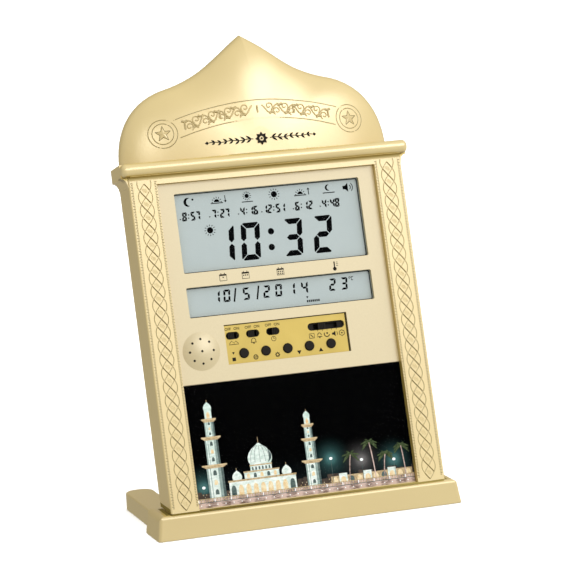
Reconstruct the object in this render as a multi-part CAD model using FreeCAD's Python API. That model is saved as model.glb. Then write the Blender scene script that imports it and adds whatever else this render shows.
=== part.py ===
import FreeCAD, Part
import math
import os

# Table-top azan clock: an onion-arched, gold plastic casing that leans back on a two-legged stand.
# Object frame: X to the right, Y to the rear, Z up, millimetres, origin under the middle of the object.
# Most pieces are drawn in the face frame and then leaned back: x to the right, y from the front of
# the pillars into the casing, z up along the face from the foot of the pillars.

V = FreeCAD.Vector

# ---- overall ----
LEAN = 15.0                  # degrees that the casing leans back
CASE_W = 206.4               # across both pillars
CASE_D = 26.0                # front of the pillars to the rear rim
WALL = 2.6                   # casing wall
FIT = 0.15                   # gap round a piece that drops into its seat
SEAT_GAP = 0.1               # gap between stacked inner pieces

# ---- front of the casing ----
PILLAR_W = 20.7
FASCIA_SET = 4.0             # the fascia lies this far behind the pillars
FRIEZE_H = 6.2               # plain band between the fascia and the cornice
FASCIA_T = 2.4
LEDGE_W = 3.0                # ledge behind the fascia's edge
LEDGE_T = 2.0
RAIL_H = 8.0                 # rail behind the joint of fascia and picture
EDGE_R = 1.0

# ---- cornice ----
CORNICE_W = 216.0
CORNICE_Z = 239.3            # underside of the round moulding
CORNICE_H = 9.6
CORNICE_SET = 1.2            # centre of the round nose, in front of the pillars
CORNICE_END_R = 3.0
SIDE_COVE_H = 7.0
COVE_TIP = 0.3               # thickness left at the two ends of a side cove
FRONT_COVE_R = 2.8

# ---- onion arch ----
ARCH_INSET = 1.7             # side of the arch inboard of the pillar's side
ARCH_SPRING = 0.7            # above the cornice, where its sides start to curve in
ARCH_ROOT = 6.0              # depth to which it is sunk below that
SHOULDER_INSET = 39.3        # from the arch's side to its shoulder
SHOULDER_RISE = 55.1         # above the cornice
SHOULDER_ANGLE = 13.8        # slope of the outline there, degrees
APEX_RISE = 90.9             # above the cornice
APEX_ANGLE = 34.4            # slope of the outline at the tip, degrees
SIDE_HANDLE = 29.0           # the four handle lengths of the two curves
SHOULDER_HANDLE = 24.9
FLANK_HANDLE = 31.0
APEX_HANDLE = 24.5
ARCH_BULGE = 23.0            # crown of the arch's pillow-shaped face
ARCH_RIM = 2.0               # straight rim behind the crown

# ---- windows, control plate and picture, in the face frame ----
WINDOW_SIDE = 12.5           # fascia between a window and the pillar
WINDOW_TOP_GAP = 7.9         # fascia above the main window
MAIN_WIN_H = 57.5
WINDOW_GAP = 10.3            # fascia between the two windows
DATE_WIN_H = 21.7
WINDOW_R = 1.2
PLATE_GAP = 7.25             # fascia between the date window and the plate
PLATE_W = 92.8
PLATE_H = 28.5
PLATE_SET = 1.2              # the plate lies this far behind the fascia
PLATE_T = 0.6
PAD_T = 1.0                  # thicker fascia behind the plate
PAD_LAP = 1.5                # of the thicker part round the plate
PICTURE_GAP = 11.45          # fascia between the plate and the picture
PICTURE_FOOT = 1.1
COVER_T = 1.2
CARD_T = 1.2

# ---- controls ----
BUTTON_D = 7.0
BUTTON_PITCH = 16.48
BUTTON_OFFSET = -0.7         # middle button from the middle of the plate
BUTTON_DROP = 7.1            # buttons below the middle of the plate
BUTTON_FLANGE = 0.9          # wider collar behind the fascia
BUTTON_FLANGE_T = 0.8
BUTTON_STEM_R = 1.6
BUTTON_PROUD = 1.3           # above the plate
BUTTON_TRAVEL = 1.0
BUTTON_NAMES = ("stop_button", "city_button", "set_button", "down_button", "up_button")
SLOT_L = 10.0
SLOT_H = 5.3
SLOT_RISE = 6.2              # slots above the middle of the plate
SLOT_FIRST = -40.5           # first slot from the middle of the plate
SLOT_PITCH = 15.15
SLIDER_NAMES = ("left_slide_knob", "middle_slide_knob", "right_slide_knob")
SLIDER_SIDES = (-1, -1, 1)     # the end of its slot where each knob rests
SLIDER_TRAVEL = 3.0
SLIDER_L = 4.6
SELECTOR_SLOT_L = 28.0
SELECTOR_SLOT_H = 5.5
SELECTOR_OFFSET = 30.2       # from the middle of the plate
SELECTOR_PITCH = 3.53        # between two of its five stops
SELECTOR_L = 5.6
KNOB_PROUD = 0.9
KNOB_GAP = 0.35              # round a knob in its slot
KNOB_FOOT = 3.2
KNOB_RIB_PITCH = 1.3
TACT_SIZE = 6.2
TACT_T = 2.2
SWITCH_BODY_H = 7.0
SWITCH_BODY_LAP = 1.8

# ---- speaker ----
SPEAKER_SIDE = 17.55         # from the pillar to the speaker's axis
SPEAKER_TO_PLATE = 65.35     # from that axis to the middle of the plate
SPEAKER_DROP = 2.7           # below the middle of the plate
GRILLE_R = 13.8
GRILLE_RISE = 2.6
GRILLE_WALL = 1.6
HOLE_D = 1.5
HOLE_RING_R = 8.8
HOLE_COUNT = 8
SPEAKER_R = 14.0
SPEAKER_RIM_T = 1.2
BASKET_D = 5.4
BASKET_FLOOR_T = 1.0
MAGNET_R = 9.0
MAGNET_T = 4.6

# ---- displays and boards ----
LENS_T = 1.2
LENS_LAP = 2.0               # lens overlap behind the fascia, each side
GLASS_T = 2.8
CELL_INSET = 1.0             # a display cell is this much smaller than its lens
REFLECTOR_T = 0.5
HOLDER_WALL = 1.6
HOLDER_SHELF = 3.0           # shelf of the holder behind a cell's edge
BOARD_T = 1.6
STRIP_H = 2.2
PILLAR_BOSS_R = 2.5          # bosses on the back of the fascia
BOSS_HIGH = 26.0             # highest bosses above the middle of the main window
BOSS_LOW = 12.0              # next bosses below it
BOARD_SCREW_R = 1.0
BOARD_SCREW_L = 5.6
CONTROL_SCREW_L = 5.0
CONTROL_BOARD_Y = 12.0
CHIPS = ((9.0, 2.0, -22.0, 0.0), (6.0, 1.6, 20.0, -46.0))              # radius, height, x, z
CANS = ((2.6, 5.2, 30.0, 12.0), (2.6, 5.2, 38.0, 12.0), (1.5, 4.0, 8.0, 18.0))
PLUGS = ((16.0, 5.0, 4.6, -52.0, -54.0), (26.0, 5.0, 4.6, -17.0, -59.0))  # length, height, depth, x, z
RESISTOR = (2.0, 3.2, 0.8, 40.0, -7.0)
RESISTOR_PITCH = 5.0
RESISTOR_COUNT = 6

# ---- rear cover and batteries ----
COVER_RIM = 1.3              # lip of the casing round the rear cover
BACK_T = 2.2
WELL_R = 4.6
WELL_BORE_R = 3.4
WELL_FLOOR_T = 1.6
WELL_DEPTH = 8.8
BOSS_R = 3.6
SCREW_R = 1.45
SCREW_GAP = 0.05
HEAD_R = 2.8
HEAD_H = 1.8
SCREW_L = 8.0
COVER_SCREW_LOW = 32.0       # lowest screws of the rear cover
COVER_SCREW_DROP = 17.3      # highest screws below the cornice
COVER_SCREW_OFFSET = 0.9     # outboard of the middle of the pillar, towards the inside
ARCH_SCREW_INSET = 38.5      # screws in the arch, from its side
ARCH_SCREW_RISE = 22.0
BATTERY_R = 7.2
BATTERY_L = 50.0
BATTERY_Z = 42.0             # middle of the battery bay
BAY_WALL = 1.4
DOOR_T = 1.8
DOOR_LAP = 3.0
DOOR_GAP = 0.3
CONTACT_T = 0.5
CONTACT_W = 10.4
NUB_R = 2.7
NUB_L = 0.8
CELL_END_GAP = 0.6           # from a cell's end to the nominal battery length
BUMP_GAP = 0.05              # between a contact and its cell

# ---- power inlet in the rear cover ----
INLET_X = 62.0
INLET_Z = 26.0
INLET_R = 5.2
INLET_L = 11.0
INLET_BORE_R = 2.8
INLET_BORE_L = 9.0
INLET_PIN_R = 1.0

# ---- stand ----
FOOT_PROUD = 0.5             # rubber below the stand's rim
BAR_L = 228.8
BAR_D = 34.0
BAR_TOP = 17.5
BAR_LEAN = 3.0               # the front face leans back by this much at its top
BAR_END_LEAN = 2.4
BAR_CORNER_R = 2.2
BAR_END_R = 5.0              # rounding along the top of the two ends
BAR_FRONT_R = 3.0            # rounding along the top of the front and the rear
NECK_H = 1.0                 # narrow neck between the bar and the casing
NECK_INSET = 3.0
CASE_SETBACK = 3.6           # foot of the pillars behind the bar's front foot
LEG_W = 21.0
LEG_OUT = 6.6                # outer side of a leg, inboard of the bar's end
LEG_REACH = 114.0            # from the bar's front foot to the end of the legs
LEG_TOP = 13.0
LEG_END_R = 8.5
LEG_EDGE_R = 1.2
LEG_RAMP = 9.0
STAND_WALL = 2.6
BOTTOM_T = 2.0
PAD_R = 5.0
PAD_SUNK = 0.9
PAD_SIDE = 14.0              # front pads from the bar's ends
PAD_FRONT = 12.0             # front pads behind the bar's front foot
PAD_REAR = 10.5              # rear pads from the end of the legs
BAR_SCREW_X = 30.0
LEG_SCREW_END = 24.0         # rear screws from the end of the legs
STAND_SCREW_X = 56.0
STAND_BOSS_H = 12.0
BOTTOM_SCREW_L = 7.5
BOTTOM_HEAD_H = 1.0
BOTTOM_HEAD_DEPTH = 1.2      # seat of the heads above the bottom's underside
LIP_T = 1.4
LIP_DROP = 0.9

# ---- places worked out from the sizes above ----
LEAN_RAD = math.radians(LEAN)
HALF_W = CASE_W / 2
INNER_X = HALF_W - PILLAR_W              # inner side of a pillar
RECESS_TOP = CORNICE_Z - FRIEZE_H
WINDOW_W = 2 * (INNER_X - WINDOW_SIDE)
MAIN_WIN = (WINDOW_W, MAIN_WIN_H)
MAIN_WIN_Z = RECESS_TOP - WINDOW_TOP_GAP - MAIN_WIN_H / 2
DATE_WIN = (WINDOW_W, DATE_WIN_H)
DATE_WIN_Z = MAIN_WIN_Z - MAIN_WIN_H / 2 - WINDOW_GAP - DATE_WIN_H / 2
PLATE_Z = DATE_WIN_Z - DATE_WIN_H / 2 - PLATE_GAP - PLATE_H / 2
PICTURE_TOP = PLATE_Z - PLATE_H / 2 - PICTURE_GAP
SPEAKER_X = -INNER_X + SPEAKER_SIDE
SPEAKER_Z = PLATE_Z - SPEAKER_DROP
PLATE_X = SPEAKER_X + SPEAKER_TO_PLATE
BUTTON_Z = PLATE_Z - BUTTON_DROP
SLOT_Z = PLATE_Z + SLOT_RISE
SLOT_XS = [PLATE_X + SLOT_FIRST + SLOT_PITCH * i for i in range(len(SLIDER_NAMES))]
SELECTOR_X = PLATE_X + SELECTOR_OFFSET
FASCIA_BACK = FASCIA_SET + FASCIA_T
LEDGE_BACK = FASCIA_BACK + LEDGE_T
OPENING_X = INNER_X - LEDGE_W            # half the opening inside the ledge
PLATE_FRONT = FASCIA_SET + PLATE_SET
PAD_BACK = FASCIA_BACK + PAD_T
BACK_FRONT = CASE_D - BACK_T             # inner face of the rear cover
CORNICE_TOP = CORNICE_Z + CORNICE_H
ARCH_HALF_W = HALF_W - ARCH_INSET
ARCH_Z = CORNICE_TOP + ARCH_SPRING
SHOULDER_X = ARCH_HALF_W - SHOULDER_INSET
SHOULDER_Z = CORNICE_TOP + SHOULDER_RISE
APEX_Z = CORNICE_TOP + APEX_RISE
LENS_BACK = FASCIA_BACK + LENS_T
GLASS_FRONT = LENS_BACK + SEAT_GAP
GLASS_BACK = GLASS_FRONT + GLASS_T
BOARD_FRONT = GLASS_BACK + 3.4
BOARD_BACK = BOARD_FRONT + BOARD_T
TACT_FRONT = CONTROL_BOARD_Y - TACT_T
CASE_FOOT = BAR_TOP + NECK_H             # height of the foot of the pillars
APEX_REAR = CASE_SETBACK + CASE_D * math.cos(LEAN_RAD) + APEX_Z * math.sin(LEAN_RAD)
DEPTH = max(APEX_REAR, LEG_REACH)
FRONT_Y = -DEPTH / 2                     # front foot of the bar
FACE_PLACE = FreeCAD.Placement(V(0, FRONT_Y + CASE_SETBACK, CASE_FOOT),
                               FreeCAD.Rotation(V(1, 0, 0), -LEAN))


# ---------------------------------------------------------------- helpers
def block(x0, x1, y0, y1, z0, z1):
    return Part.makeBox(x1 - x0, y1 - y0, z1 - z0, V(x0, y0, z0))


def rod(radius, x, z, y0, y1):
    """Round rod along y, between two depths."""
    return Part.makeCylinder(radius, y1 - y0, V(x, y0, z), V(0, 1, 0))


def post(radius, x, y, z0, z1):
    """Upright round post."""
    return Part.makeCylinder(radius, z1 - z0, V(x, y, z0))


def profile(points, depth_from, depth_to, plane):
    """Straight-sided outline, given in plane 'xz' or 'yz', as a prism along the third axis."""
    if plane == "xz":
        corners = [V(a, depth_from, b) for a, b in points]
        run = V(0, depth_to - depth_from, 0)
    else:
        corners = [V(depth_from, a, b) for a, b in points]
        run = V(depth_to - depth_from, 0, 0)
    return Part.Face(Part.makePolygon(corners + corners[:1])).extrude(run)


def plate_with_round_corners(width, height, x, z, y0, y1, radius):
    body = block(x - width / 2, x + width / 2, y0, y1, z - height / 2, z + height / 2)
    along = [e for e in body.Edges if abs(e.tangentAt(e.FirstParameter).y) > 0.99]
    return body.makeFillet(min(radius, 0.499 * min(width, height)), along)


def fuse(pieces):
    result = pieces[0].fuse(pieces[1:])
    return result.removeSplitter()


def below(height):
    """Everything under a level of the object frame, as a block in the face frame."""
    span = 4 * CASE_W
    slab = block(-span, span, -span, span, height - span, height)
    slab.Placement = FACE_PLACE.inverse()
    return slab


def lean_back(shape):
    placed = shape.copy()
    placed.Placement = FACE_PLACE.multiply(shape.Placement)
    return placed


def save(name, shape):
    solids = shape.Solids
    result = solids[0] if len(solids) == 1 else Part.makeCompound(solids)
    result.exportStep("parts/%s.step" % name)


# ---------------------------------------------------------------- onion arch
def arch_wire(scale, y, tip):
    """Outline of the arch at one depth; tip 1 gives the pointed apex and 0 a round one."""
    slope = math.radians(SHOULDER_ANGLE)
    apex_slope = math.radians(APEX_ANGLE) * tip
    side = [(ARCH_HALF_W, ARCH_Z), (ARCH_HALF_W, ARCH_Z + SIDE_HANDLE),
            (SHOULDER_X + SHOULDER_HANDLE * math.cos(slope),
             SHOULDER_Z - SHOULDER_HANDLE * math.sin(slope)),
            (SHOULDER_X, SHOULDER_Z)]
    flank = [(SHOULDER_X, SHOULDER_Z),
             (SHOULDER_X - FLANK_HANDLE * math.cos(slope), SHOULDER_Z + FLANK_HANDLE * math.sin(slope)),
             (APEX_HANDLE * math.cos(apex_slope), APEX_Z - APEX_HANDLE * math.sin(apex_slope)),
             (0.0, APEX_Z)]

    def at(point, mirror=1):
        return V(mirror * scale * point[0], y, ARCH_Z + scale * (point[1] - ARCH_Z))

    def curve(points):
        bezier = Part.BezierCurve()
        bezier.setPoles(points)
        return bezier.toShape()

    root = ARCH_Z - ARCH_ROOT
    half = scale * ARCH_HALF_W
    edges = [Part.makeLine(V(-half, y, root), V(half, y, root)),
             Part.makeLine(V(half, y, root), at(side[0])),
             curve([at(p) for p in side]),
             curve([at(p) for p in flank]),
             curve([at(p, -1) for p in reversed(flank)]),
             curve([at(p, -1) for p in reversed(side)]),
             Part.makeLine(at(side[0], -1), V(-half, y, root))]
    return Part.Wire(edges)


def arch_solid(inset, rear):
    """Pillow-shaped arch, drawn in by an inset on its sides and face, back to the given depth."""
    shrink = (ARCH_HALF_W - inset) / ARCH_HALF_W
    crown_rear = CASE_D - ARCH_RIM
    sections = []
    for angle in (90, 80, 68, 54, 40, 26, 12):
        reach = math.sin(math.radians(angle))
        depth = crown_rear - ARCH_BULGE * math.cos(math.radians(angle)) + (inset if angle < 90 else 0)
        sections.append(arch_wire(reach * shrink, min(depth, crown_rear), reach ** 12))
    crown = Part.makeLoft(sections, True, False)
    rim = Part.Face(arch_wire(shrink, crown_rear, 1.0)).extrude(V(0, rear - crown_rear, 0))
    return fuse([crown, rim])


def back_outline(inset, y0, y1):
    """Flat outline of the casing seen from behind, drawn in by an inset."""
    arch = Part.Face(arch_wire((ARCH_HALF_W - inset) / ARCH_HALF_W, y0, 1.0)).extrude(V(0, y1 - y0, 0))
    half = HALF_W - inset
    return fuse([arch, block(-half, half, y0, y1, -CASE_D, CORNICE_TOP - inset)])


# ---------------------------------------------------------------- casing
def cornice():
    """Round-nosed moulding across the top of the pillars, with coves under it."""
    nose_r = CORNICE_H / 2
    middle = CORNICE_Z + nose_r
    half = CORNICE_W / 2
    bar = block(-half, half, -CORNICE_SET, EDGE_R, CORNICE_Z, CORNICE_TOP)
    nose = Part.makeCylinder(nose_r, CORNICE_W, V(-half, -CORNICE_SET, middle), V(1, 0, 0))
    moulding = fuse([bar, nose])
    end_edges = [e for e in moulding.Edges
                 if all(abs(abs(v.Point.x) - half) < 0.01 for v in e.Vertexes)
                 and e.BoundBox.YMin < EDGE_R - 0.01 and e.BoundBox.XLength < 0.01]
    moulding = moulding.makeFillet(min(CORNICE_END_R, 0.45 * CORNICE_H), end_edges)
    pieces = [moulding, block(-half, half, EDGE_R, CASE_D, CORNICE_Z, CORNICE_TOP)]
    for side in (-1, 1):
        cove = profile([(side * (HALF_W - EDGE_R), CORNICE_Z - SIDE_COVE_H),
                        (side * HALF_W, CORNICE_Z - SIDE_COVE_H), (side * half, CORNICE_Z - COVE_TIP),
                        (side * half, CORNICE_Z), (side * (HALF_W - EDGE_R), CORNICE_Z)],
                       EDGE_R, CASE_D, "xz")
        hollow = Part.makeCylinder(1.0, CASE_D + 2, V(0, -1, 0), V(0, 1, 0))
        stretch = FreeCAD.Matrix()
        stretch.scale(half - HALF_W - COVE_TIP, 1, SIDE_COVE_H - COVE_TIP)
        hollow = hollow.transformGeometry(stretch)
        hollow.translate(V(side * half, 0, CORNICE_Z - SIDE_COVE_H))
        pieces.append(cove.cut(hollow))
    lip = block(-HALF_W + EDGE_R, HALF_W - EDGE_R, -FRONT_COVE_R, EDGE_R,
                CORNICE_Z - FRONT_COVE_R, CORNICE_Z + 1)
    scoop = Part.makeCylinder(FRONT_COVE_R, CASE_W, V(-HALF_W, -FRONT_COVE_R, CORNICE_Z - FRONT_COVE_R),
                              V(1, 0, 0))
    pieces.append(lip.cut(scoop))
    return pieces


def cover_screw_places():
    """Screw places of the rear cover in the face frame."""
    pillar_x = HALF_W - PILLAR_W / 2 - COVER_SCREW_OFFSET
    high = CORNICE_Z - COVER_SCREW_DROP
    rows = (COVER_SCREW_LOW, (COVER_SCREW_LOW + high) / 2, high)
    places = [(s * pillar_x, z) for z in rows for s in (-1, 1)]
    return places + [(s * (ARCH_HALF_W - ARCH_SCREW_INSET), ARCH_Z + ARCH_SCREW_RISE) for s in (-1, 1)]


def case_outside():
    slab = block(-HALF_W, HALF_W, 0, CASE_D, -CASE_D, CORNICE_TOP - 1)
    front_edges = [e for e in slab.Edges if abs(e.BoundBox.YMax) < 0.01 and e.BoundBox.ZLength > CASE_W]
    slab = slab.makeFillet(EDGE_R, front_edges)
    return fuse([slab, arch_solid(0.0, CASE_D)] + cornice())


def front_casing():
    outside = case_outside()
    shell = outside.cut(arch_solid(WALL, CASE_D + 1))
    inner = HALF_W - WALL
    floor = below(CASE_FOOT + WALL)
    hollow = block(-inner, inner, LEDGE_BACK, CASE_D + 1, -CASE_D, CORNICE_TOP - WALL)
    pillar_hollows = []
    for side in (-1, 1):
        x0, x1 = sorted((side * (INNER_X + WALL), side * inner))
        pillar_hollows.append(block(x0, x1, WALL, LEDGE_BACK + 1, -CASE_D, RECESS_TOP))
    shell = shell.cut(fuse([hollow] + pillar_hollows).cut(floor))
    recess = block(-INNER_X, INNER_X, -CASE_D, FASCIA_BACK, -CASE_D, RECESS_TOP)
    rail_z = PICTURE_TOP + RAIL_H / 2
    openings = [block(-OPENING_X, OPENING_X, 0, CASE_D, rail_z, RECESS_TOP - LEDGE_W),
                block(-OPENING_X, OPENING_X, 0, CASE_D, PICTURE_FOOT + LEDGE_W, rail_z - RAIL_H).cut(floor)]
    shell = shell.cut([recess] + openings)
    bosses = [rod(BOSS_R, x, z, 0, CASE_D - WELL_DEPTH).common(outside) for x, z in cover_screw_places()]
    shell = fuse([shell] + bosses)
    shell = shell.cut([rod(SCREW_R + SCREW_GAP, x, z, CASE_D - WELL_DEPTH - SCREW_L, CASE_D)
                       for x, z in cover_screw_places()])
    shell = shell.cut(back_outline(COVER_RIM, BACK_FRONT, CASE_D + 1).cut(below(CASE_FOOT + COVER_RIM)))
    return shell.cut(below(CASE_FOOT))


def stand_screw_y():
    """Middle of the casing's foot, from the front of the object."""
    return FRONT_Y + CASE_SETBACK + 0.56 * CASE_D


def with_stand_bosses(casing):
    """Upright bosses for the stand screws and the lip under the picture, in the object frame."""
    room = lean_back(block(-OPENING_X, OPENING_X, FASCIA_BACK + 0.8, BACK_FRONT - 0.8, -CASE_D, CASE_W))
    top = CASE_FOOT + STAND_BOSS_H
    bosses = [post(BOSS_R, s * STAND_SCREW_X, stand_screw_y(), CASE_FOOT, top).common(room) for s in (-1, 1)]
    lip = block(-INNER_X, INNER_X, FASCIA_SET - LIP_T / 2, FASCIA_SET + LIP_T / 2, -CASE_D, RAIL_H)
    lip = lean_back(lip)
    level = CASE_FOOT - LIP_DROP
    lip = lip.common(block(-INNER_X, INNER_X, FRONT_Y, FRONT_Y + DEPTH, level, CASE_FOOT + 1))
    lip = lip.cut(lean_back(block(-INNER_X, INNER_X, 0, CASE_D, PICTURE_FOOT, CASE_W)))
    whole = fuse([casing] + bosses + [lip])
    holes = [post(SCREW_R + SCREW_GAP, s * STAND_SCREW_X, stand_screw_y(), CASE_FOOT - 1, top + 1)
             for s in (-1, 1)]
    return whole.cut(holes)


# ---------------------------------------------------------------- fascia, windows, picture
def speaker_holes(y0, y1):
    holes = [rod(HOLE_D / 2, SPEAKER_X, SPEAKER_Z, y0, y1)]
    for i in range(HOLE_COUNT):
        turn = 2 * math.pi * i / HOLE_COUNT
        holes.append(rod(HOLE_D / 2, SPEAKER_X + HOLE_RING_R * math.sin(turn),
                         SPEAKER_Z + HOLE_RING_R * math.cos(turn), y0, y1))
    return holes


def grille_dome(radius, rise, front):
    """Spherical cap over the speaker, seen from the front."""
    ball_r = (radius ** 2 + rise ** 2) / (2 * rise)
    ball = Part.makeSphere(ball_r, V(SPEAKER_X, front + ball_r, SPEAKER_Z))
    return ball.common(rod(radius, SPEAKER_X, SPEAKER_Z, front - 1, FASCIA_SET + FASCIA_T / 2))


def button_places():
    middle = PLATE_X + BUTTON_OFFSET
    return [(middle + BUTTON_PITCH * (i - 2), BUTTON_Z) for i in range(len(BUTTON_NAMES))]


def control_openings(y0, y1):
    """Holes and slots of the controls through the plate and the fascia."""
    cuts = [rod(BUTTON_D / 2 + KNOB_GAP / 2, x, z, y0, y1) for x, z in button_places()]
    for x in SLOT_XS:
        cuts.append(plate_with_round_corners(SLOT_L, SLOT_H, x, SLOT_Z, y0, y1, SLOT_H))
    cuts.append(plate_with_round_corners(SELECTOR_SLOT_L, SELECTOR_SLOT_H, SELECTOR_X, SLOT_Z, y0, y1,
                                         SELECTOR_SLOT_H))
    return cuts


def board_boss_places():
    x = OPENING_X - PILLAR_BOSS_R - 0.6
    return [(s * x, z) for s in (-1, 1) for z in (MAIN_WIN_Z + BOSS_HIGH, MAIN_WIN_Z - BOSS_LOW, DATE_WIN_Z)]


def control_boss_places():
    return [(PLATE_X + s * (PLATE_W / 2 - 1.0), BUTTON_Z - 4.5) for s in (-1, 1)]


def fascia_panel():
    half = INNER_X - FIT
    panel = block(-half, half, FASCIA_SET, FASCIA_BACK, PICTURE_TOP + FIT, RECESS_TOP - FIT)
    pad = block(PLATE_X - PLATE_W / 2 - PAD_LAP, PLATE_X + PLATE_W / 2 + PAD_LAP, FASCIA_BACK, PAD_BACK,
                PLATE_Z - PLATE_H / 2 - PAD_LAP, PLATE_Z + PLATE_H / 2 + PAD_LAP)
    dome = grille_dome(GRILLE_R, GRILLE_RISE, FASCIA_SET - GRILLE_RISE)
    bosses = [rod(PILLAR_BOSS_R, x, z, FASCIA_BACK, BOARD_FRONT) for x, z in board_boss_places()]
    bosses += [rod(PILLAR_BOSS_R, x, z, PAD_BACK, CONTROL_BOARD_Y) for x, z in control_boss_places()]
    panel = fuse([panel, pad, dome] + bosses)
    scoop_r = GRILLE_R - GRILLE_WALL
    scoop = grille_dome(scoop_r, GRILLE_RISE, FASCIA_SET - GRILLE_RISE + GRILLE_WALL)
    scoop = fuse([scoop, rod(scoop_r, SPEAKER_X, SPEAKER_Z, FASCIA_SET + GRILLE_WALL, FASCIA_BACK + 1)])
    cuts = [plate_with_round_corners(MAIN_WIN[0], MAIN_WIN[1], 0, MAIN_WIN_Z, 0, CASE_D, WINDOW_R),
            plate_with_round_corners(DATE_WIN[0], DATE_WIN[1], 0, DATE_WIN_Z, 0, CASE_D, WINDOW_R),
            block(PLATE_X - PLATE_W / 2, PLATE_X + PLATE_W / 2, 0, PLATE_FRONT + PLATE_T,
                  PLATE_Z - PLATE_H / 2, PLATE_Z + PLATE_H / 2), scoop]
    cuts += speaker_holes(0, FASCIA_BACK) + control_openings(FASCIA_SET, PAD_BACK + 1)
    cuts += [rod(1.05, x, z, BOARD_FRONT - 5, BOARD_FRONT + 1) for x, z in board_boss_places()]
    cuts += [rod(1.05, x, z, PAD_BACK, CONTROL_BOARD_Y + 1) for x, z in control_boss_places()]
    return panel.cut(cuts)


def control_plate():
    sheet = block(PLATE_X - PLATE_W / 2 + FIT, PLATE_X + PLATE_W / 2 - FIT, PLATE_FRONT,
                  PLATE_FRONT + PLATE_T, PLATE_Z - PLATE_H / 2 + FIT, PLATE_Z + PLATE_H / 2 - FIT)
    return sheet.cut(control_openings(0, CASE_D))


def window_lens(window, z):
    return plate_with_round_corners(window[0] + 2 * LENS_LAP, window[1] + 2 * LENS_LAP, 0, z,
                                    FASCIA_BACK, LENS_BACK, WINDOW_R)


def display_glass(window, z):
    """Liquid crystal cell: front glass with a narrower rear glass behind it."""
    width, height = cell_size(window)
    middle = GLASS_FRONT + GLASS_T / 2
    front = block(-width / 2, width / 2, GLASS_FRONT, middle, z - height / 2, z + height / 2)
    rear = block(-width / 2, width / 2, middle, GLASS_BACK, z - height / 2 + STRIP_H, z + height / 2)
    return fuse([front, rear])


def cell_size(window):
    """Width and height of a display cell."""
    return window[0] + 2 * LENS_LAP - CELL_INSET, window[1] + 2 * LENS_LAP - CELL_INSET


def holder_opening(window, z):
    """Half width, foot and top of the opening in the holder behind a display cell."""
    width, height = cell_size(window)
    return width / 2 - HOLDER_SHELF, z - height / 2 + STRIP_H + HOLDER_WALL, z + height / 2 - HOLDER_SHELF


def display_holder():
    """Frame that carries both display cells in front of the main board."""
    half_x = MAIN_WIN[0] / 2 + LENS_LAP
    z0 = DATE_WIN_Z - DATE_WIN[1] / 2 - LENS_LAP - HOLDER_WALL
    z1 = MAIN_WIN_Z + MAIN_WIN[1] / 2 + LENS_LAP - 0.4
    frame = block(-half_x, half_x, GLASS_FRONT + 0.6, BOARD_FRONT - SEAT_GAP, z0, z1)
    cuts = []
    for window, z in ((MAIN_WIN, MAIN_WIN_Z), (DATE_WIN, DATE_WIN_Z)):
        width, height = cell_size(window)
        foot = z - height / 2
        opening_x, opening_foot, opening_top = holder_opening(window, z)
        cuts.append(block(-width / 2 - FIT, width / 2 + FIT, 0, GLASS_BACK + FIT, foot - FIT,
                          z + height / 2 + FIT))
        cuts.append(block(-opening_x, opening_x, 0, CASE_D, opening_foot, opening_top))
        cuts.append(block(-opening_x, opening_x, 0, CASE_D, foot - FIT, foot + STRIP_H - FIT))
    return frame.cut(cuts)


def contact_strips():
    """Elastomer strips that join the edge of each display cell to the board."""
    strips = []
    for window, z in ((MAIN_WIN, MAIN_WIN_Z), (DATE_WIN, DATE_WIN_Z)):
        foot = z - cell_size(window)[1] / 2
        half = holder_opening(window, z)[0] - FIT
        strips.append(block(-half, half, GLASS_FRONT + GLASS_T / 2, BOARD_FRONT, foot,
                            foot + STRIP_H - 2 * FIT))
    return Part.makeCompound(strips)


def display_reflector(window, z):
    """White reflector sheet behind a display cell."""
    half, foot, top = holder_opening(window, z)
    return block(-half + FIT, half - FIT, GLASS_BACK, GLASS_BACK + REFLECTOR_T, foot + FIT, top - FIT)


def picture_sheet(y0, y1):
    half = INNER_X - FIT
    sheet = block(-half, half, y0, y1, -CASE_D, PICTURE_TOP - FIT)
    return sheet.cut(block(-half, half, y0, y1, -CASE_D, PICTURE_FOOT)).cut(below(CASE_FOOT + FIT))


# ---------------------------------------------------------------- boards and switches
def main_board():
    half_x = OPENING_X - 0.5
    board = block(-half_x, half_x, BOARD_FRONT, BOARD_BACK, DATE_WIN_Z - DATE_WIN[1] / 2 - LENS_LAP - 3,
                  MAIN_WIN_Z + MAIN_WIN[1] / 2 + LENS_LAP)
    return board.cut([rod(1.3, x, z, 0, CASE_D) for x, z in board_boss_places()])


def chip_blob(radius, height, x, z):
    """Epoxy blob over the bare chip."""
    ball_r = (radius ** 2 + height ** 2) / (2 * height)
    ball = Part.makeSphere(ball_r, V(x, BOARD_BACK + height - ball_r, z))
    return ball.common(rod(radius, x, z, BOARD_BACK, BOARD_BACK + height + 1))


def board_components():
    """Parts on the back of the main board: chips, crystal, capacitors, plugs."""
    parts = [chip_blob(radius, height, x, MAIN_WIN_Z + z) for radius, height, x, z in CHIPS]
    parts += [rod(radius, x, MAIN_WIN_Z + z, BOARD_BACK, BOARD_BACK + height)
              for radius, height, x, z in CANS]
    for length, height, depth, x, z in PLUGS:
        foot = MAIN_WIN_Z + z - height / 2
        parts.append(block(x - length / 2, x + length / 2, BOARD_BACK, BOARD_BACK + depth,
                           foot, foot + height))
    width, height, depth, first, z = RESISTOR
    for i in range(RESISTOR_COUNT):
        x = first + RESISTOR_PITCH * i
        foot = MAIN_WIN_Z + z
        parts.append(block(x, x + width, BOARD_BACK, BOARD_BACK + depth, foot, foot + height))
    return Part.makeCompound(parts)


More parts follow.
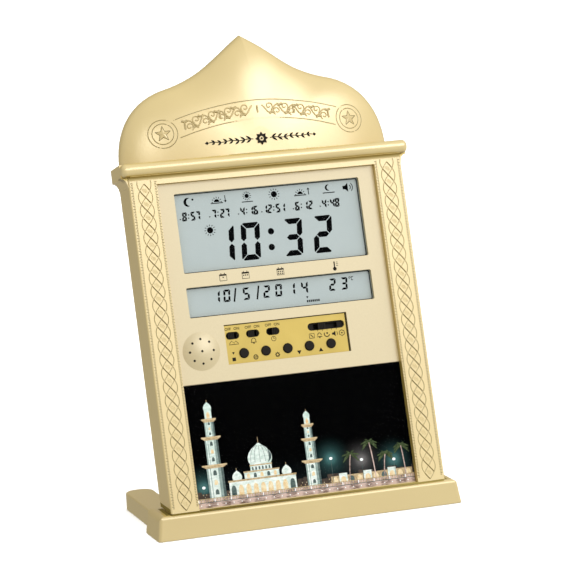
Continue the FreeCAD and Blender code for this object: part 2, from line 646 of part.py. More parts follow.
def pan_screw(x, z, y_head, length, radius, head_r, head_h):
    """Self-tapping screw driven towards the front, with its head seated at a depth."""
    shank = rod(radius, x, z, y_head - length, y_head)
    head = rod(head_r, x, z, y_head, y_head + head_h)
    rim = [e for e in head.Edges if e.BoundBox.YMin > y_head + head_h - 0.01]
    head = head.makeFillet(0.4 * head_h, rim)
    slot = block(x - 0.35, x + 0.35, y_head + 0.45 * head_h, y_head + 2 * head_h, z - head_r, z + head_r)
    return fuse([shank, head]).cut(slot)


def board_screws():
    head = (BOARD_SCREW_R, 2 * BOARD_SCREW_R, 1.3 * BOARD_SCREW_R)
    screws = [pan_screw(x, z, BOARD_BACK, BOARD_SCREW_L, *head) for x, z in board_boss_places()]
    back = CONTROL_BOARD_Y + BOARD_T
    screws += [pan_screw(x, z, back, CONTROL_SCREW_L, *head) for x, z in control_boss_places()]
    return Part.makeCompound(screws)


def control_board():
    half = PLATE_W / 2 + 2.0
    z1 = DATE_WIN_Z - DATE_WIN[1] / 2 - LENS_LAP - HOLDER_WALL - 4.0
    board = block(PLATE_X - half, PLATE_X + half, CONTROL_BOARD_Y, CONTROL_BOARD_Y + BOARD_T,
                  PLATE_Z - PLATE_H / 2, z1)
    return board.cut([rod(1.3, x, z, 0, CASE_D) for x, z in control_boss_places()])


def tact_switches():
    bodies = []
    for x, z in button_places():
        half = TACT_SIZE / 2
        body = block(x - half, x + half, TACT_FRONT, CONTROL_BOARD_Y, z - half, z + half)
        bodies.append(body.cut(rod(BUTTON_STEM_R + 0.2, x, z, 0, CONTROL_BOARD_Y - 0.5)))
    return Part.makeCompound(bodies)


def push_button(x, z):
    """Cap with a crowned front, a flange behind the fascia and a stem into its switch."""
    front = PLATE_FRONT - BUTTON_PROUD
    flange = PAD_BACK + SEAT_GAP
    cap = rod(BUTTON_D / 2, x, z, front, flange)
    rim = [e for e in cap.Edges if e.BoundBox.YMax < front + 0.01]
    cap = cap.makeFillet(0.7, rim)
    collar = rod(BUTTON_D / 2 + BUTTON_FLANGE, x, z, flange, flange + BUTTON_FLANGE_T)
    stem = rod(BUTTON_STEM_R, x, z, flange, CONTROL_BOARD_Y - 0.7 - BUTTON_TRAVEL)
    return fuse([cap, collar, stem])


def slide_switch(x, slot_l, knob_foot, travel):
    """Switch body with a trough that the knob's foot runs in."""
    half = slot_l / 2 + SWITCH_BODY_LAP
    body = block(x - half, x + half, PAD_BACK + SEAT_GAP, CONTROL_BOARD_Y,
                 SLOT_Z - SWITCH_BODY_H / 2, SLOT_Z + SWITCH_BODY_H / 2)
    half = (knob_foot + travel) / 2 + KNOB_GAP
    trough = block(x - half, x + half, 0, CONTROL_BOARD_Y - 0.9, SLOT_Z - KNOB_FOOT / 2 - 0.2,
                   SLOT_Z + KNOB_FOOT / 2 + 0.2)
    return body.cut(trough)


def slide_knob(x, length, height, foot_l):
    """Ribbed thumb knob with a foot in its switch."""
    front = PLATE_FRONT - KNOB_PROUD
    seat = PAD_BACK - SEAT_GAP
    head = block(x - length / 2, x + length / 2, front, seat, SLOT_Z - height / 2, SLOT_Z + height / 2)
    along = [e for e in head.Edges if abs(e.tangentAt(e.FirstParameter).y) > 0.99]
    head = head.makeFillet(0.8, along)
    ribs = [block(x + d - 0.3, x + d + 0.3, front - 1, front + 0.4, SLOT_Z - height, SLOT_Z + height)
            for d in (-KNOB_RIB_PITCH, 0.0, KNOB_RIB_PITCH)]
    foot = block(x - foot_l / 2, x + foot_l / 2, seat, CONTROL_BOARD_Y - 1.2,
                 SLOT_Z - KNOB_FOOT / 2, SLOT_Z + KNOB_FOOT / 2)
    return fuse([head.cut(ribs), foot])


def slider_rest(x, side):
    return x + side * SLIDER_TRAVEL / 2


def selector_rest():
    """Second of the five stops."""
    return SELECTOR_X - SELECTOR_PITCH


# ---------------------------------------------------------------- speaker
def speaker_frame():
    rim = rod(SPEAKER_R, SPEAKER_X, SPEAKER_Z, FASCIA_BACK, FASCIA_BACK + SPEAKER_RIM_T)
    start = FASCIA_BACK + SPEAKER_RIM_T
    basket = Part.makeCone(SPEAKER_R - 1.0, MAGNET_R, BASKET_D, V(SPEAKER_X, start, SPEAKER_Z), V(0, 1, 0))
    hollow = Part.makeCone(SPEAKER_R - 2.0, MAGNET_R - 1.6, BASKET_D - BASKET_FLOOR_T,
                           V(SPEAKER_X, start, SPEAKER_Z), V(0, 1, 0))
    mouth = rod(SPEAKER_R - 2.0, SPEAKER_X, SPEAKER_Z, FASCIA_BACK - 1, start)
    windows = []
    for i in range(4):
        window = block(-2.6, 2.6, start + 1.2, start + BASKET_D - BASKET_FLOOR_T - 0.8, 0, SPEAKER_R + 2)
        window.rotate(V(0, 0, 0), V(0, 1, 0), 45 + 90 * i)
        window.translate(V(SPEAKER_X, 0, SPEAKER_Z))
        windows.append(window)
    return fuse([rim, basket]).cut([hollow, mouth] + windows)


def speaker_cone():
    """Thin cone with a dust cap, inside the frame."""
    start = FASCIA_BACK + 0.4
    wide = SPEAKER_R - 2.2
    outer = Part.makeCone(wide, 4.4, 3.6, V(SPEAKER_X, start, SPEAKER_Z), V(0, 1, 0))
    inner = Part.makeCone(wide - 0.5, 3.9, 3.4, V(SPEAKER_X, start - 0.01, SPEAKER_Z), V(0, 1, 0))
    cap_r = 5.0
    ball = Part.makeSphere(cap_r + 2.0, V(SPEAKER_X, start + 8.2, SPEAKER_Z))
    cap = ball.common(rod(4.4, SPEAKER_X, SPEAKER_Z, start, start + 3.6))
    basket_floor = FASCIA_BACK + SPEAKER_RIM_T + BASKET_D - BASKET_FLOOR_T
    coil = rod(3.4, SPEAKER_X, SPEAKER_Z, start + 3.6, basket_floor)
    return fuse([outer.cut(inner), cap, coil])


def speaker_magnet():
    start = FASCIA_BACK + SPEAKER_RIM_T + BASKET_D
    yoke = rod(MAGNET_R, SPEAKER_X, SPEAKER_Z, start, start + MAGNET_T)
    rim = [e for e in yoke.Edges if e.BoundBox.YMin > start + MAGNET_T - 0.01]
    return yoke.makeChamfer(0.8, rim)


# ---------------------------------------------------------------- rear cover and batteries
BAY_FRONT = BACK_FRONT + BACK_T - DOOR_T - 2 * BATTERY_R - 0.6
BAY_HALF_X = BATTERY_L / 2 + 3.4
BAY_HALF_Z = 2 * BATTERY_R + 0.6


def battery_places():
    return [BATTERY_Z - BATTERY_R - 0.15, BATTERY_Z + BATTERY_R + 0.15]


def battery_y():
    return BAY_FRONT + BATTERY_R + 0.1


def vent_slots():
    """Sound slots through the cover behind the speaker."""
    slots = []
    for i in range(7):
        z = SPEAKER_Z + 4.0 * (i - 3)
        width = 2 * math.sqrt(15.0 ** 2 - (4.0 * (i - 3)) ** 2)
        slots.append(plate_with_round_corners(width, 1.8, SPEAKER_X, z, 0, CASE_D + 1, 1.0))
    return slots


def rear_cover():
    gap = COVER_RIM + FIT
    plate = back_outline(gap, BACK_FRONT, CASE_D).cut(below(CASE_FOOT + gap))
    wells = [rod(WELL_R, x, z, CASE_D - WELL_DEPTH, CASE_D - 0.5) for x, z in cover_screw_places()]
    bay = block(-BAY_HALF_X - BAY_WALL, BAY_HALF_X + BAY_WALL, BAY_FRONT - BAY_WALL, CASE_D - 0.5,
                BATTERY_Z - BAY_HALF_Z - BAY_WALL, BATTERY_Z + BAY_HALF_Z + BAY_WALL)
    cover = fuse([plate, bay] + wells)
    cuts = [block(-BAY_HALF_X, BAY_HALF_X, BAY_FRONT, CASE_D + 1, BATTERY_Z - BAY_HALF_Z,
                  BATTERY_Z + BAY_HALF_Z),
            plate_with_round_corners(2 * (BAY_HALF_X + DOOR_LAP), 2 * (BAY_HALF_Z + 1.0), 0, BATTERY_Z,
                                     CASE_D - DOOR_T, CASE_D + 1, 2.0)]
    for x, z in cover_screw_places():
        cuts.append(rod(WELL_BORE_R, x, z, CASE_D - WELL_DEPTH + WELL_FLOOR_T, CASE_D + 1))
        cuts.append(rod(SCREW_R + 0.25, x, z, CASE_D - WELL_DEPTH - 1, CASE_D))
    cuts.append(rod(INLET_R + FIT, INLET_X, INLET_Z, 0, CASE_D + 1))
    cuts += vent_slots()
    return cover.cut(cuts)


def battery_door():
    """Snap-in door with a thumb recess and ribs, and a tongue under each end of the bay."""
    half_x = BAY_HALF_X + DOOR_LAP - DOOR_GAP
    half_z = BAY_HALF_Z + 1.0 - DOOR_GAP
    door = plate_with_round_corners(2 * half_x, 2 * half_z, 0, BATTERY_Z, CASE_D - DOOR_T + 0.02, CASE_D,
                                    2.0)
    thumb = Part.makeSphere(14.0, V(half_x - 8.0, CASE_D + 13.2, BATTERY_Z))
    ribs = [block(half_x - 14.0 + 2.2 * i, half_x - 13.2 + 2.2 * i, CASE_D - 0.4, CASE_D + 1,
                  BATTERY_Z - 12, BATTERY_Z - 7) for i in range(6)]
    ribs += [r.mirror(V(0, 0, BATTERY_Z), V(0, 0, 1)) for r in ribs]
    tongues = []
    for side in (-1, 1):
        z = BATTERY_Z + side * (BAY_HALF_Z - 0.9)
        tongues.append(block(-4, 4, CASE_D - DOOR_T - 1.6, CASE_D - DOOR_T + 0.1, z - 0.5, z + 0.5))
    return fuse([door] + tongues).cut([thumb] + ribs)


def batteries():
    """Two dry cells, laid head to tail."""
    cells = []
    for z, head in zip(battery_places(), (1, -1)):
        half = BATTERY_L / 2 - 2 * CELL_END_GAP
        tube = Part.makeCylinder(BATTERY_R, 2 * half, V(-half, battery_y(), z), V(1, 0, 0))
        tube = tube.makeFillet(CELL_END_GAP, [e for e in tube.Edges if e.BoundBox.XLength < 0.01])
        nub = Part.makeCylinder(NUB_R, NUB_L + CELL_END_GAP, V(head * (half - 0.1), battery_y(), z),
                                V(head, 0, 0))
        cells.append(fuse([tube, nub]))
    return Part.makeCompound(cells)


def battery_contacts():
    """Leaf plates at one end of the bay and coil-spring stacks at the other, drawn as cones."""
    parts = []
    for z, head in zip(battery_places(), (1, -1)):
        for side in (-1, 1):
            wall = side * BAY_HALF_X
            x0, x1 = sorted((wall, wall - side * CONTACT_T))
            half = CONTACT_W / 2
            leaf = block(x0, x1, battery_y() - half, battery_y() + half, z - half, z + half)
            cell_end = BATTERY_L / 2 - 2 * CELL_END_GAP
            if side == head:
                cell_end += NUB_L + CELL_END_GAP - 0.1
            reach = BAY_HALF_X - CONTACT_T - cell_end - BUMP_GAP
            bump = Part.makeCone(0.4 * CONTACT_W, 0.28 * CONTACT_W, reach,
                                 V(wall - side * CONTACT_T, battery_y(), z), V(-side, 0, 0))
            parts.append(fuse([leaf, bump]))
    return Part.makeCompound(parts)


def power_inlet():
    """Round socket with a centre pin, pushed through the rear cover from inside."""
    body = rod(INLET_R, INLET_X, INLET_Z, CASE_D - 0.4 - INLET_L, CASE_D - 0.4)
    flange = rod(INLET_R + 1.2, INLET_X, INLET_Z, BACK_FRONT - 1.6, BACK_FRONT)
    lugs = block(INLET_X - 3.0, INLET_X + 3.0, CASE_D - 0.4 - INLET_L - 2.5, CASE_D - INLET_L,
                 INLET_Z - 0.4, INLET_Z + 0.4)
    bore = rod(INLET_BORE_R, INLET_X, INLET_Z, CASE_D - 0.4 - INLET_BORE_L, CASE_D)
    pin = rod(INLET_PIN_R, INLET_X, INLET_Z, CASE_D - 0.4 - INLET_BORE_L - 0.5, CASE_D - 1.4)
    return fuse([fuse([body, flange, lugs]).cut(bore), pin])


def rear_cover_screws():
    seat = CASE_D - WELL_DEPTH + WELL_FLOOR_T
    return Part.makeCompound([pan_screw(x, z, seat, SCREW_L, SCREW_R, HEAD_R, HEAD_H)
                              for x, z in cover_screw_places()])


# ---------------------------------------------------------------- stand, in the object frame
def bar_outline(grow, z):
    """Plan outline of the bar at a height above its foot, as a wire with round corners."""
    rise = (z - FOOT_PROUD) / (BAR_TOP - FOOT_PROUD)
    half = BAR_L / 2 - BAR_END_LEAN * rise + grow
    front = FRONT_Y + BAR_LEAN * rise - grow
    rear = FRONT_Y + BAR_D + grow
    radius = max(BAR_CORNER_R + grow, 0.5)
    body = block(-half, half, front, rear, z, z + 1)
    body = body.makeFillet(radius, [e for e in body.Edges if e.BoundBox.ZLength > 0.9])
    foot = [f for f in body.Faces if abs(f.CenterOfMass.z - z) < 1e-6 and abs(f.normalAt(0, 0).z) > 0.9]
    return foot[0].OuterWire


def edge_rounding(corner, outward, lean, radius, plane):
    """Cutter that rounds a top edge of the bar whose side leans in by a length over the bar's height."""
    tilt = math.atan2(lean, BAR_TOP - FOOT_PROUD)
    middle = corner - outward * radius / math.tan((math.pi / 2 + tilt) / 2)
    high = BAR_TOP - radius
    low_end = (middle + outward * radius * math.cos(tilt), high + radius * math.sin(tilt))
    beyond = corner + outward * 2 * radius
    prism = profile([(middle, BAR_TOP), (middle, BAR_TOP + 1), (beyond, BAR_TOP + 1), (beyond, low_end[1]),
                     low_end], -BAR_L, BAR_L, plane)
    if plane == "xz":
        return prism.cut(Part.makeCylinder(radius, 2 * BAR_L, V(middle, -BAR_L, high), V(0, 1, 0)))
    return prism.cut(Part.makeCylinder(radius, 2 * BAR_L, V(-BAR_L, middle, high), V(1, 0, 0)))


def bar_solid(inset, top):
    loft = Part.makeLoft([bar_outline(-inset, FOOT_PROUD), bar_outline(-inset, BAR_TOP)], True, True)
    if top < BAR_TOP:
        span = BAR_L
        return loft.cut(block(-span, span, -span, span, top, BAR_TOP + 1))
    cutters = [edge_rounding(s * (BAR_L / 2 - BAR_END_LEAN), s, BAR_END_LEAN, BAR_END_R, "xz")
               for s in (-1, 1)]
    cutters.append(edge_rounding(FRONT_Y + BAR_LEAN, -1, BAR_LEAN, BAR_FRONT_R, "yz"))
    cutters.append(edge_rounding(FRONT_Y + BAR_D, 1, 0.0, BAR_FRONT_R, "yz"))
    return loft.cut(cutters)


def leg_solid(side, inset, top):
    outer = BAR_L / 2 - LEG_OUT - inset
    inner = BAR_L / 2 - LEG_OUT - LEG_W + inset
    x0, x1 = sorted((side * outer, side * inner))
    y0 = FRONT_Y + BAR_D / 2
    y1 = FRONT_Y + LEG_REACH - inset
    leg = block(x0, x1, y0, y1, FOOT_PROUD, top)
    radius = LEG_END_R - inset
    end_edges = [e for e in leg.Edges if e.BoundBox.ZLength > 1 and e.BoundBox.YMin > y1 - 0.01]
    leg = leg.makeFillet(radius, end_edges)
    if inset == 0:
        top_edges = [e for e in leg.Edges if e.BoundBox.ZMin > top - 0.01 and e.BoundBox.YMax > y0 + 0.01]
        leg = leg.makeFillet(LEG_EDGE_R, top_edges)
    return leg


def leg_ramp(side):
    """Curved web that lifts the top of a leg to the top of the bar."""
    rise = BAR_TOP - BAR_FRONT_R * 0.3 - LEG_TOP
    y0 = FRONT_Y + BAR_D
    radius = (LEG_RAMP ** 2 + rise ** 2) / (2 * rise)
    outer = BAR_L / 2 - LEG_OUT - LEG_EDGE_R
    inner = BAR_L / 2 - LEG_OUT - LEG_W + LEG_EDGE_R
    x0, x1 = sorted((side * outer, side * inner))
    web = block(x0, x1, y0 - BAR_END_R, y0 + LEG_RAMP, LEG_TOP - 2, LEG_TOP + rise)
    scoop = Part.makeCylinder(radius, LEG_W, V(x0, y0 + LEG_RAMP, LEG_TOP + radius), V(1, 0, 0))
    return web.cut(scoop)


def neck():
    """Raised pad on the bar that the casing stands on."""
    half = HALF_W - NECK_INSET
    y0 = FRONT_Y + CASE_SETBACK + FASCIA_SET + LIP_T + 0.8
    y1 = FRONT_Y + CASE_SETBACK + CASE_D * math.cos(LEAN_RAD) - NECK_INSET
    return block(-half, half, y0, y1, BAR_TOP - STAND_WALL, CASE_FOOT)


def bottom_screw_places():
    """Screws of the stand's bottom: two in the bar and one near the end of each leg."""
    leg_x = BAR_L / 2 - LEG_OUT - LEG_W / 2
    places = [(s * BAR_SCREW_X, FRONT_Y + BAR_D / 2) for s in (-1, 1)]
    return places + [(s * leg_x, FRONT_Y + LEG_REACH - LEG_SCREW_END) for s in (-1, 1)]


def rubber_places():
    leg_x = BAR_L / 2 - LEG_OUT - LEG_W / 2
    bar_x = BAR_L / 2 - PAD_SIDE
    return [(s * bar_x, FRONT_Y + PAD_FRONT) for s in (-1, 1)] + \
           [(s * leg_x, FRONT_Y + LEG_REACH - PAD_REAR) for s in (-1, 1)]


def base_stand():
    outside = [bar_solid(0, BAR_TOP), neck()] + [leg_solid(s, 0, LEG_TOP) for s in (-1, 1)]
    outside = fuse(outside + [leg_ramp(s) for s in (-1, 1)])
    inside = fuse([bar_solid(STAND_WALL, BAR_TOP - STAND_WALL)]
                  + [leg_solid(s, STAND_WALL, LEG_TOP - STAND_WALL) for s in (-1, 1)])
    shell = outside.cut(inside)
    posts = []
    for x, y in bottom_screw_places():
        roof = LEG_TOP - 1 if y > FRONT_Y + BAR_D else BAR_TOP - 1
        posts.append(post(BOSS_R, x, y, FOOT_PROUD + BOTTOM_T + SEAT_GAP, roof))
    shell = fuse([shell] + posts)
    holes = [post(SCREW_R + SCREW_GAP, x, y, 0, 10.0) for x, y in bottom_screw_places()]
    holes += [post(SCREW_R + 0.25, s * STAND_SCREW_X, stand_screw_y(), 0, CASE_FOOT + 1) for s in (-1, 1)]
    return shell.cut(holes)


def base_bottom():
    """Flat bottom that closes the stand, with seats for the rubber pads and screw heads."""
    top = FOOT_PROUD + BOTTOM_T
    sheet = fuse([bar_solid(STAND_WALL + FIT, top)] + [leg_solid(s, STAND_WALL + FIT, top) for s in (-1, 1)])
    cuts = [post(PAD_R + FIT, x, y, 0, FOOT_PROUD + PAD_SUNK) for x, y in rubber_places()]
    for x, y in bottom_screw_places():
        cuts.append(post(SCREW_R + 0.25, x, y, 0, top + 1))
        cuts.append(post(HEAD_R + 0.3, x, y, 0, FOOT_PROUD + BOTTOM_HEAD_DEPTH))
    return sheet.cut(cuts)


def rubber_feet():
    pads = []
    for x, y in rubber_places():
        pad = post(PAD_R, x, y, 0, FOOT_PROUD + PAD_SUNK)
        pads.append(pad.makeFillet(0.3, [e for e in pad.Edges if e.BoundBox.ZMax < 0.01]))
    return Part.makeCompound(pads)


def upright_screw(x, y, z_head, length, head_h):
    """Screw driven upwards, with its head below a seat."""
    shank = post(SCREW_R, x, y, z_head, z_head + length)
    head = post(HEAD_R, x, y, z_head - head_h, z_head)
    head = head.makeFillet(0.3 * head_h, [e for e in head.Edges if e.BoundBox.ZMax < z_head - head_h + 0.01])
    return fuse([shank, head]).cut(block(x - 0.35, x + 0.35, y - HEAD_R, y + HEAD_R, z_head - 2 * head_h,
                                         z_head - 0.5 * head_h))


def stand_screws():
    length = STAND_WALL + NECK_H + STAND_BOSS_H - 3.0
    return Part.makeCompound([upright_screw(s * STAND_SCREW_X, stand_screw_y(), BAR_TOP - STAND_WALL, length,
                                            HEAD_H) for s in (-1, 1)])


def bottom_screws():
    seat = FOOT_PROUD + BOTTOM_HEAD_DEPTH
    return Part.makeCompound([upright_screw(x, y, seat, BOTTOM_SCREW_L, BOTTOM_HEAD_H)
                              for x, y in bottom_screw_places()])


# ---------------------------------------------------------------- write every piece
def main():
    os.makedirs("parts", exist_ok=True)
    save("base_stand", base_stand())
    save("base_bottom", base_bottom())
    save("rubber_feet", rubber_feet())
    save("stand_screws", stand_screws())
    save("bottom_screws", bottom_screws())
    save("front_casing", with_stand_bosses(lean_back(front_casing())))
    leaning = {
        "fascia_panel": fascia_panel(),
        "control_plate": control_plate(),
        "main_lens": window_lens(MAIN_WIN, MAIN_WIN_Z),
        "date_lens": window_lens(DATE_WIN, DATE_WIN_Z),
        "main_display": display_glass(MAIN_WIN, MAIN_WIN_Z),
        "date_display": display_glass(DATE_WIN, DATE_WIN_Z),
        "main_reflector": display_reflector(MAIN_WIN, MAIN_WIN_Z),
        "date_reflector": display_reflector(DATE_WIN, DATE_WIN_Z),
        "display_holder": display_holder(),
        "contact_strips": contact_strips(),
        "picture_cover": picture_sheet(FASCIA_SET, FASCIA_SET + COVER_T),
        "picture_card": picture_sheet(FASCIA_SET + COVER_T, FASCIA_SET + COVER_T + CARD_T),
        "main_board": main_board(),
        "board_components": board_components(),
        "board_screws": board_screws(),
        "control_board": control_board(),
        "tact_switches": tact_switches(),
        "slide_switches": Part.makeCompound([slide_switch(x, SLOT_L, KNOB_FOOT, SLIDER_TRAVEL)
                                             for x in SLOT_XS]),
        "selector_switch": slide_switch(SELECTOR_X, SELECTOR_SLOT_L, KNOB_FOOT, 4 * SELECTOR_PITCH),
        "selector_knob": slide_knob(selector_rest(), SELECTOR_L, SELECTOR_SLOT_H - 2 * KNOB_GAP, KNOB_FOOT),
        "speaker_frame": speaker_frame(),
        "speaker_cone": speaker_cone(),
        "speaker_magnet": speaker_magnet(),
        "rear_cover": rear_cover(),
        "rear_cover_screws": rear_cover_screws(),
        "battery_door": battery_door(),
        "batteries": batteries(),
        "battery_contacts": battery_contacts(),
        "power_inlet": power_inlet(),
    }
    for name, place in zip(BUTTON_NAMES, button_places()):
        leaning[name] = push_button(*place)
    for name, x, side in zip(SLIDER_NAMES, SLOT_XS, SLIDER_SIDES):
        leaning[name] = slide_knob(slider_rest(x, side), SLIDER_L, SLOT_H - 2 * KNOB_GAP, KNOB_FOOT)
    for name, shape in leaning.items():
        save(name, lean_back(shape))


main()
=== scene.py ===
import math

import bmesh
import bpy
from mathutils import Matrix, Vector


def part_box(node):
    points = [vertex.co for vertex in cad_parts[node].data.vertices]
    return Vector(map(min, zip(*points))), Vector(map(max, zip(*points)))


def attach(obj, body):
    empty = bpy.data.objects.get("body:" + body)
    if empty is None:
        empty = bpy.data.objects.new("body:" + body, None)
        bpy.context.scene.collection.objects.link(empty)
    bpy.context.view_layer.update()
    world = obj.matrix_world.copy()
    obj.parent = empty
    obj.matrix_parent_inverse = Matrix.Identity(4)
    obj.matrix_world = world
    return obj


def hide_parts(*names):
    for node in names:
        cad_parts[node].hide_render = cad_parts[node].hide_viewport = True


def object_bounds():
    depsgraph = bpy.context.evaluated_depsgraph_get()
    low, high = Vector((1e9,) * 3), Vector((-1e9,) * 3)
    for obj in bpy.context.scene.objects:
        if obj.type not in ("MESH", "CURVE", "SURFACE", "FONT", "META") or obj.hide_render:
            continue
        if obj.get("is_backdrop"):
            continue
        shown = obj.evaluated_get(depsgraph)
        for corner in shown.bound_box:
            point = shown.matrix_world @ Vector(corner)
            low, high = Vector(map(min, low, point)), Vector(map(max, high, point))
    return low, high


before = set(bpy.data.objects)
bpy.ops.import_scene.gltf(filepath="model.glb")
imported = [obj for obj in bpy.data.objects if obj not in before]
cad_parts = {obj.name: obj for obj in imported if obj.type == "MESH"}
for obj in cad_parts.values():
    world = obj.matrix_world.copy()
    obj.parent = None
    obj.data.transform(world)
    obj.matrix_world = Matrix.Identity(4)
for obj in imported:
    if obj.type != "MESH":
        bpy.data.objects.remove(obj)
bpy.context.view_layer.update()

# Dressing of a table-top azan clock. Lengths are millimetres in the face frame: x to the right,
# y from the front of the pillars into the casing, z up the leaning face from the foot of the pillars.
# FACE leans that frame back and turns it into metres in the object's own frame.

MM = 0.001
FRONT_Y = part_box("base_stand")[0][1] / MM
CASE_SETBACK = 3.6
CASE_FOOT = 18.5
LEAN = math.radians(15.0)
FACE = (Matrix.Scale(MM, 4) @ Matrix.Translation((0.0, FRONT_Y + CASE_SETBACK, CASE_FOOT))
        @ Matrix.Rotation(-LEAN, 4, "X"))

# ---- sizes taken over from the construction ----
HALF_W = 103.2
PILLAR_MIDDLE = 92.0
INNER_X = 82.5
FASCIA = 4.0
ARCH_HALF_W = 101.5
ARCH_Z = 249.6
ARCH_RIM_Y = 24.0
ARCH_BULGE = 23.0
SHOULDER = (62.2, 304.0)
SHOULDER_SLOPE = math.radians(13.8)
APEX_Z = 339.8
SIDE_HANDLE = 29.0
SHOULDER_HANDLE = 24.9
FLANK_HANDLE = 31.0
APEX_HANDLE = 24.5
GLASS_FRONT = 7.7
PLATE_FRONT = 5.2
CARD_FRONT = 5.2

# ---- camera and lights, in metres, degrees and watts ----
CAMERA_PLACE = (-0.6250, -1.8974, 0.4851)
CAMERA_TURN = (80.7666, 2.9143, -18.9647)
CAMERA_LENS = 175.37
CAMERA_SENSOR = 36.0
SKY = ((-1.0, 0.70), (-0.3, 0.98), (0.02, 0.88), (0.30, 0.86), (0.60, 1.08), (1.0, 1.15))   # height, light
SIDES = ((-1.0, 0.78), (0.0, 0.86), (0.5, 1.06), (1.0, 1.22))   # left to right, share of that light
DEPTHS = ((-1.0, 1.0), (0.2, 0.97), (0.6, 0.78), (1.0, 0.50))   # front to rear, share of that light
# softboxes: name, place, target, size, power
KEY_LIGHT = ("key_light", (1.45, -2.80, 2.10), (0.0, 0.0, 0.18), (2.2, 1.9), 24.0)
ARCH_MIDDLE = (0.02, 0.03, 0.29)
CASING_LIGHTS = (("right_casing_light", (0.92, -0.96, 1.49), ARCH_MIDDLE, (1.3, 0.5), 3.5),
                 ("left_casing_light", (-0.57, -1.27, 1.15), ARCH_MIDDLE, (0.5, 0.4), 1.6))
FLOOR_LIGHT_STRENGTH = 2.6
FLOOR_LIGHT_ANGLE = math.radians(60.0)
FLOOR_HALF = 12.0


# ================================================================ materials
def srgb(red, green, blue):
    """Screen colour, 0 to 255, as linear light."""
    def linear(value):
        value = value / 255.0
        return value / 12.92 if value <= 0.04045 else ((value + 0.055) / 1.055) ** 2.4
    return (linear(red), linear(green), linear(blue), 1.0)


COAT_ROUGHNESS = 0.1
UNTURNED = (0.0, 0.0, 0.0)
UNSCALED = (1.0, 1.0, 1.0)


class Finish:
    """A node material on object coordinates, built up step by step."""

    def __init__(self, name, colour, roughness, metallic=0.0, coat=0.0, specular=0.5, alpha=1.0, ior=1.5):
        self.material = bpy.data.materials.new(name)
        self.material.use_nodes = True
        self.tree = self.material.node_tree
        self.shader = self.tree.nodes["Principled BSDF"]
        values = {"Base Color": (*colour[:3], 1.0), "Roughness": roughness, "Metallic": metallic,
                  "Coat Weight": coat, "Coat Roughness": COAT_ROUGHNESS, "Specular IOR Level": specular,
                  "Alpha": alpha, "IOR": ior}
        for socket, value in values.items():
            self.set(socket, value)

    def set(self, socket, value):
        self.shader.inputs[socket].default_value = value

    def node(self, kind, **values):
        made = self.tree.nodes.new(kind)
        for key, value in values.items():
            if hasattr(made, key):
                setattr(made, key, value)
            else:
                made.inputs[key.replace("_", " ")].default_value = value
        return made

    def link(self, source, target):
        self.tree.links.new(source, target)

    def place(self, scale=UNSCALED, turn=UNTURNED, centre=(0.0, 0.0, 0.0)):
        """Object coordinates, centred, then turned, then scaled."""
        vector = self.node("ShaderNodeTexCoord").outputs["Object"]
        for socket, value in (("Location", [-c for c in centre]), ("Rotation", turn), ("Scale", scale)):
            step = self.node("ShaderNodeMapping", vector_type="POINT")
            step.inputs[socket].default_value = value
            self.link(vector, step.inputs["Vector"])
            vector = step.outputs["Vector"]
        return vector

    def on_face(self, x=0.0, z=0.0, scale=UNSCALED):
        """Coordinates along the leaning face, in metres times scale, from a point given in millimetres."""
        return self.place(scale, (LEAN, 0.0, 0.0), FACE @ Vector((x, 0.0, z)))

    def along_face(self, axis, z=0.0):
        """One of those coordinates by itself."""
        split = self.node("ShaderNodeSeparateXYZ")
        self.link(self.on_face(0.0, z), split.inputs[0])
        return split.outputs[axis]

    def share(self, value, low, high, at_low=0.0, at_high=1.0):
        """Share of the way from low to high, in millimetres, held at both ends."""
        made = self.node("ShaderNodeMapRange", From_Min=MM * low, From_Max=MM * high, To_Min=at_low,
                         To_Max=at_high)
        self.link(value, made.inputs["Value"])
        return made.outputs["Result"]

    def noise(self, vector, scale, detail=3.0, roughness=0.5):
        made = self.node("ShaderNodeTexNoise", Scale=scale, Detail=detail, Roughness=roughness)
        self.link(vector, made.inputs["Vector"])
        return made.outputs["Fac"]

    def ramp(self, value, *stops):
        made = self.node("ShaderNodeValToRGB")
        elements = made.color_ramp.elements
        while len(elements) < len(stops):
            elements.new(0.5)
        for element, (position, colour) in zip(elements, stops):
            element.position = position
            element.color = colour if len(colour) == 4 else (*colour, 1.0)
        self.link(value, made.inputs["Fac"])
        return made.outputs["Color"]

    def sum(self, first, second, operation="ADD"):
        """Sum of two values, or another operation on them."""
        made = self.node("ShaderNodeMath", operation=operation)
        for socket, value in zip(made.inputs, (first, second)):
            if isinstance(value, (int, float)):
                socket.default_value = value
            else:
                self.link(value, socket)
        return made.outputs[0]

    def times(self, first, second):
        return self.sum(first, second, "MULTIPLY")

    def mix(self, factor, first, second, blend="MIX"):
        made = self.node("ShaderNodeMix", data_type="RGBA", blend_type=blend)
        for socket, value in ((made.inputs[0], factor), (made.inputs[6], first), (made.inputs[7], second)):
            if hasattr(value, "is_output"):
                self.link(value, socket)
            else:
                socket.default_value = value
        return made.outputs[2]

    def paint(self, colour):
        self.link(colour, self.shader.inputs["Base Color"])

    def rough(self, value, low, high):
        made = self.node("ShaderNodeMapRange", To_Min=low, To_Max=high)
        self.link(value, made.inputs["Value"])
        self.link(made.outputs["Result"], self.shader.inputs["Roughness"])

    def bump(self, height, strength, distance):
        made = self.node("ShaderNodeBump", Strength=strength, Distance=distance)
        self.link(height, made.inputs["Height"])
        self.link(made.outputs["Normal"], self.shader.inputs["Normal"])


# Painted shade in the cornice's groove under the roll: a dark, more metallic tint laid into the gold by
# height.
CORNICE_SHADE_TINT = (0.38, 0.27, 0.05, 1.0)
CORNICE_SHADE_LINE = ((236.4, 0.0), (238.4, 0.9), (239.4, 0.9), (240.3, 0.0))      # height, share of the tint
CORNICE_SHADE_METAL = 0.65
CORNICE_SHADE_REACH = (9.0, 8.0)    # depths between which the tint sets in, so that the rear stays clear of it


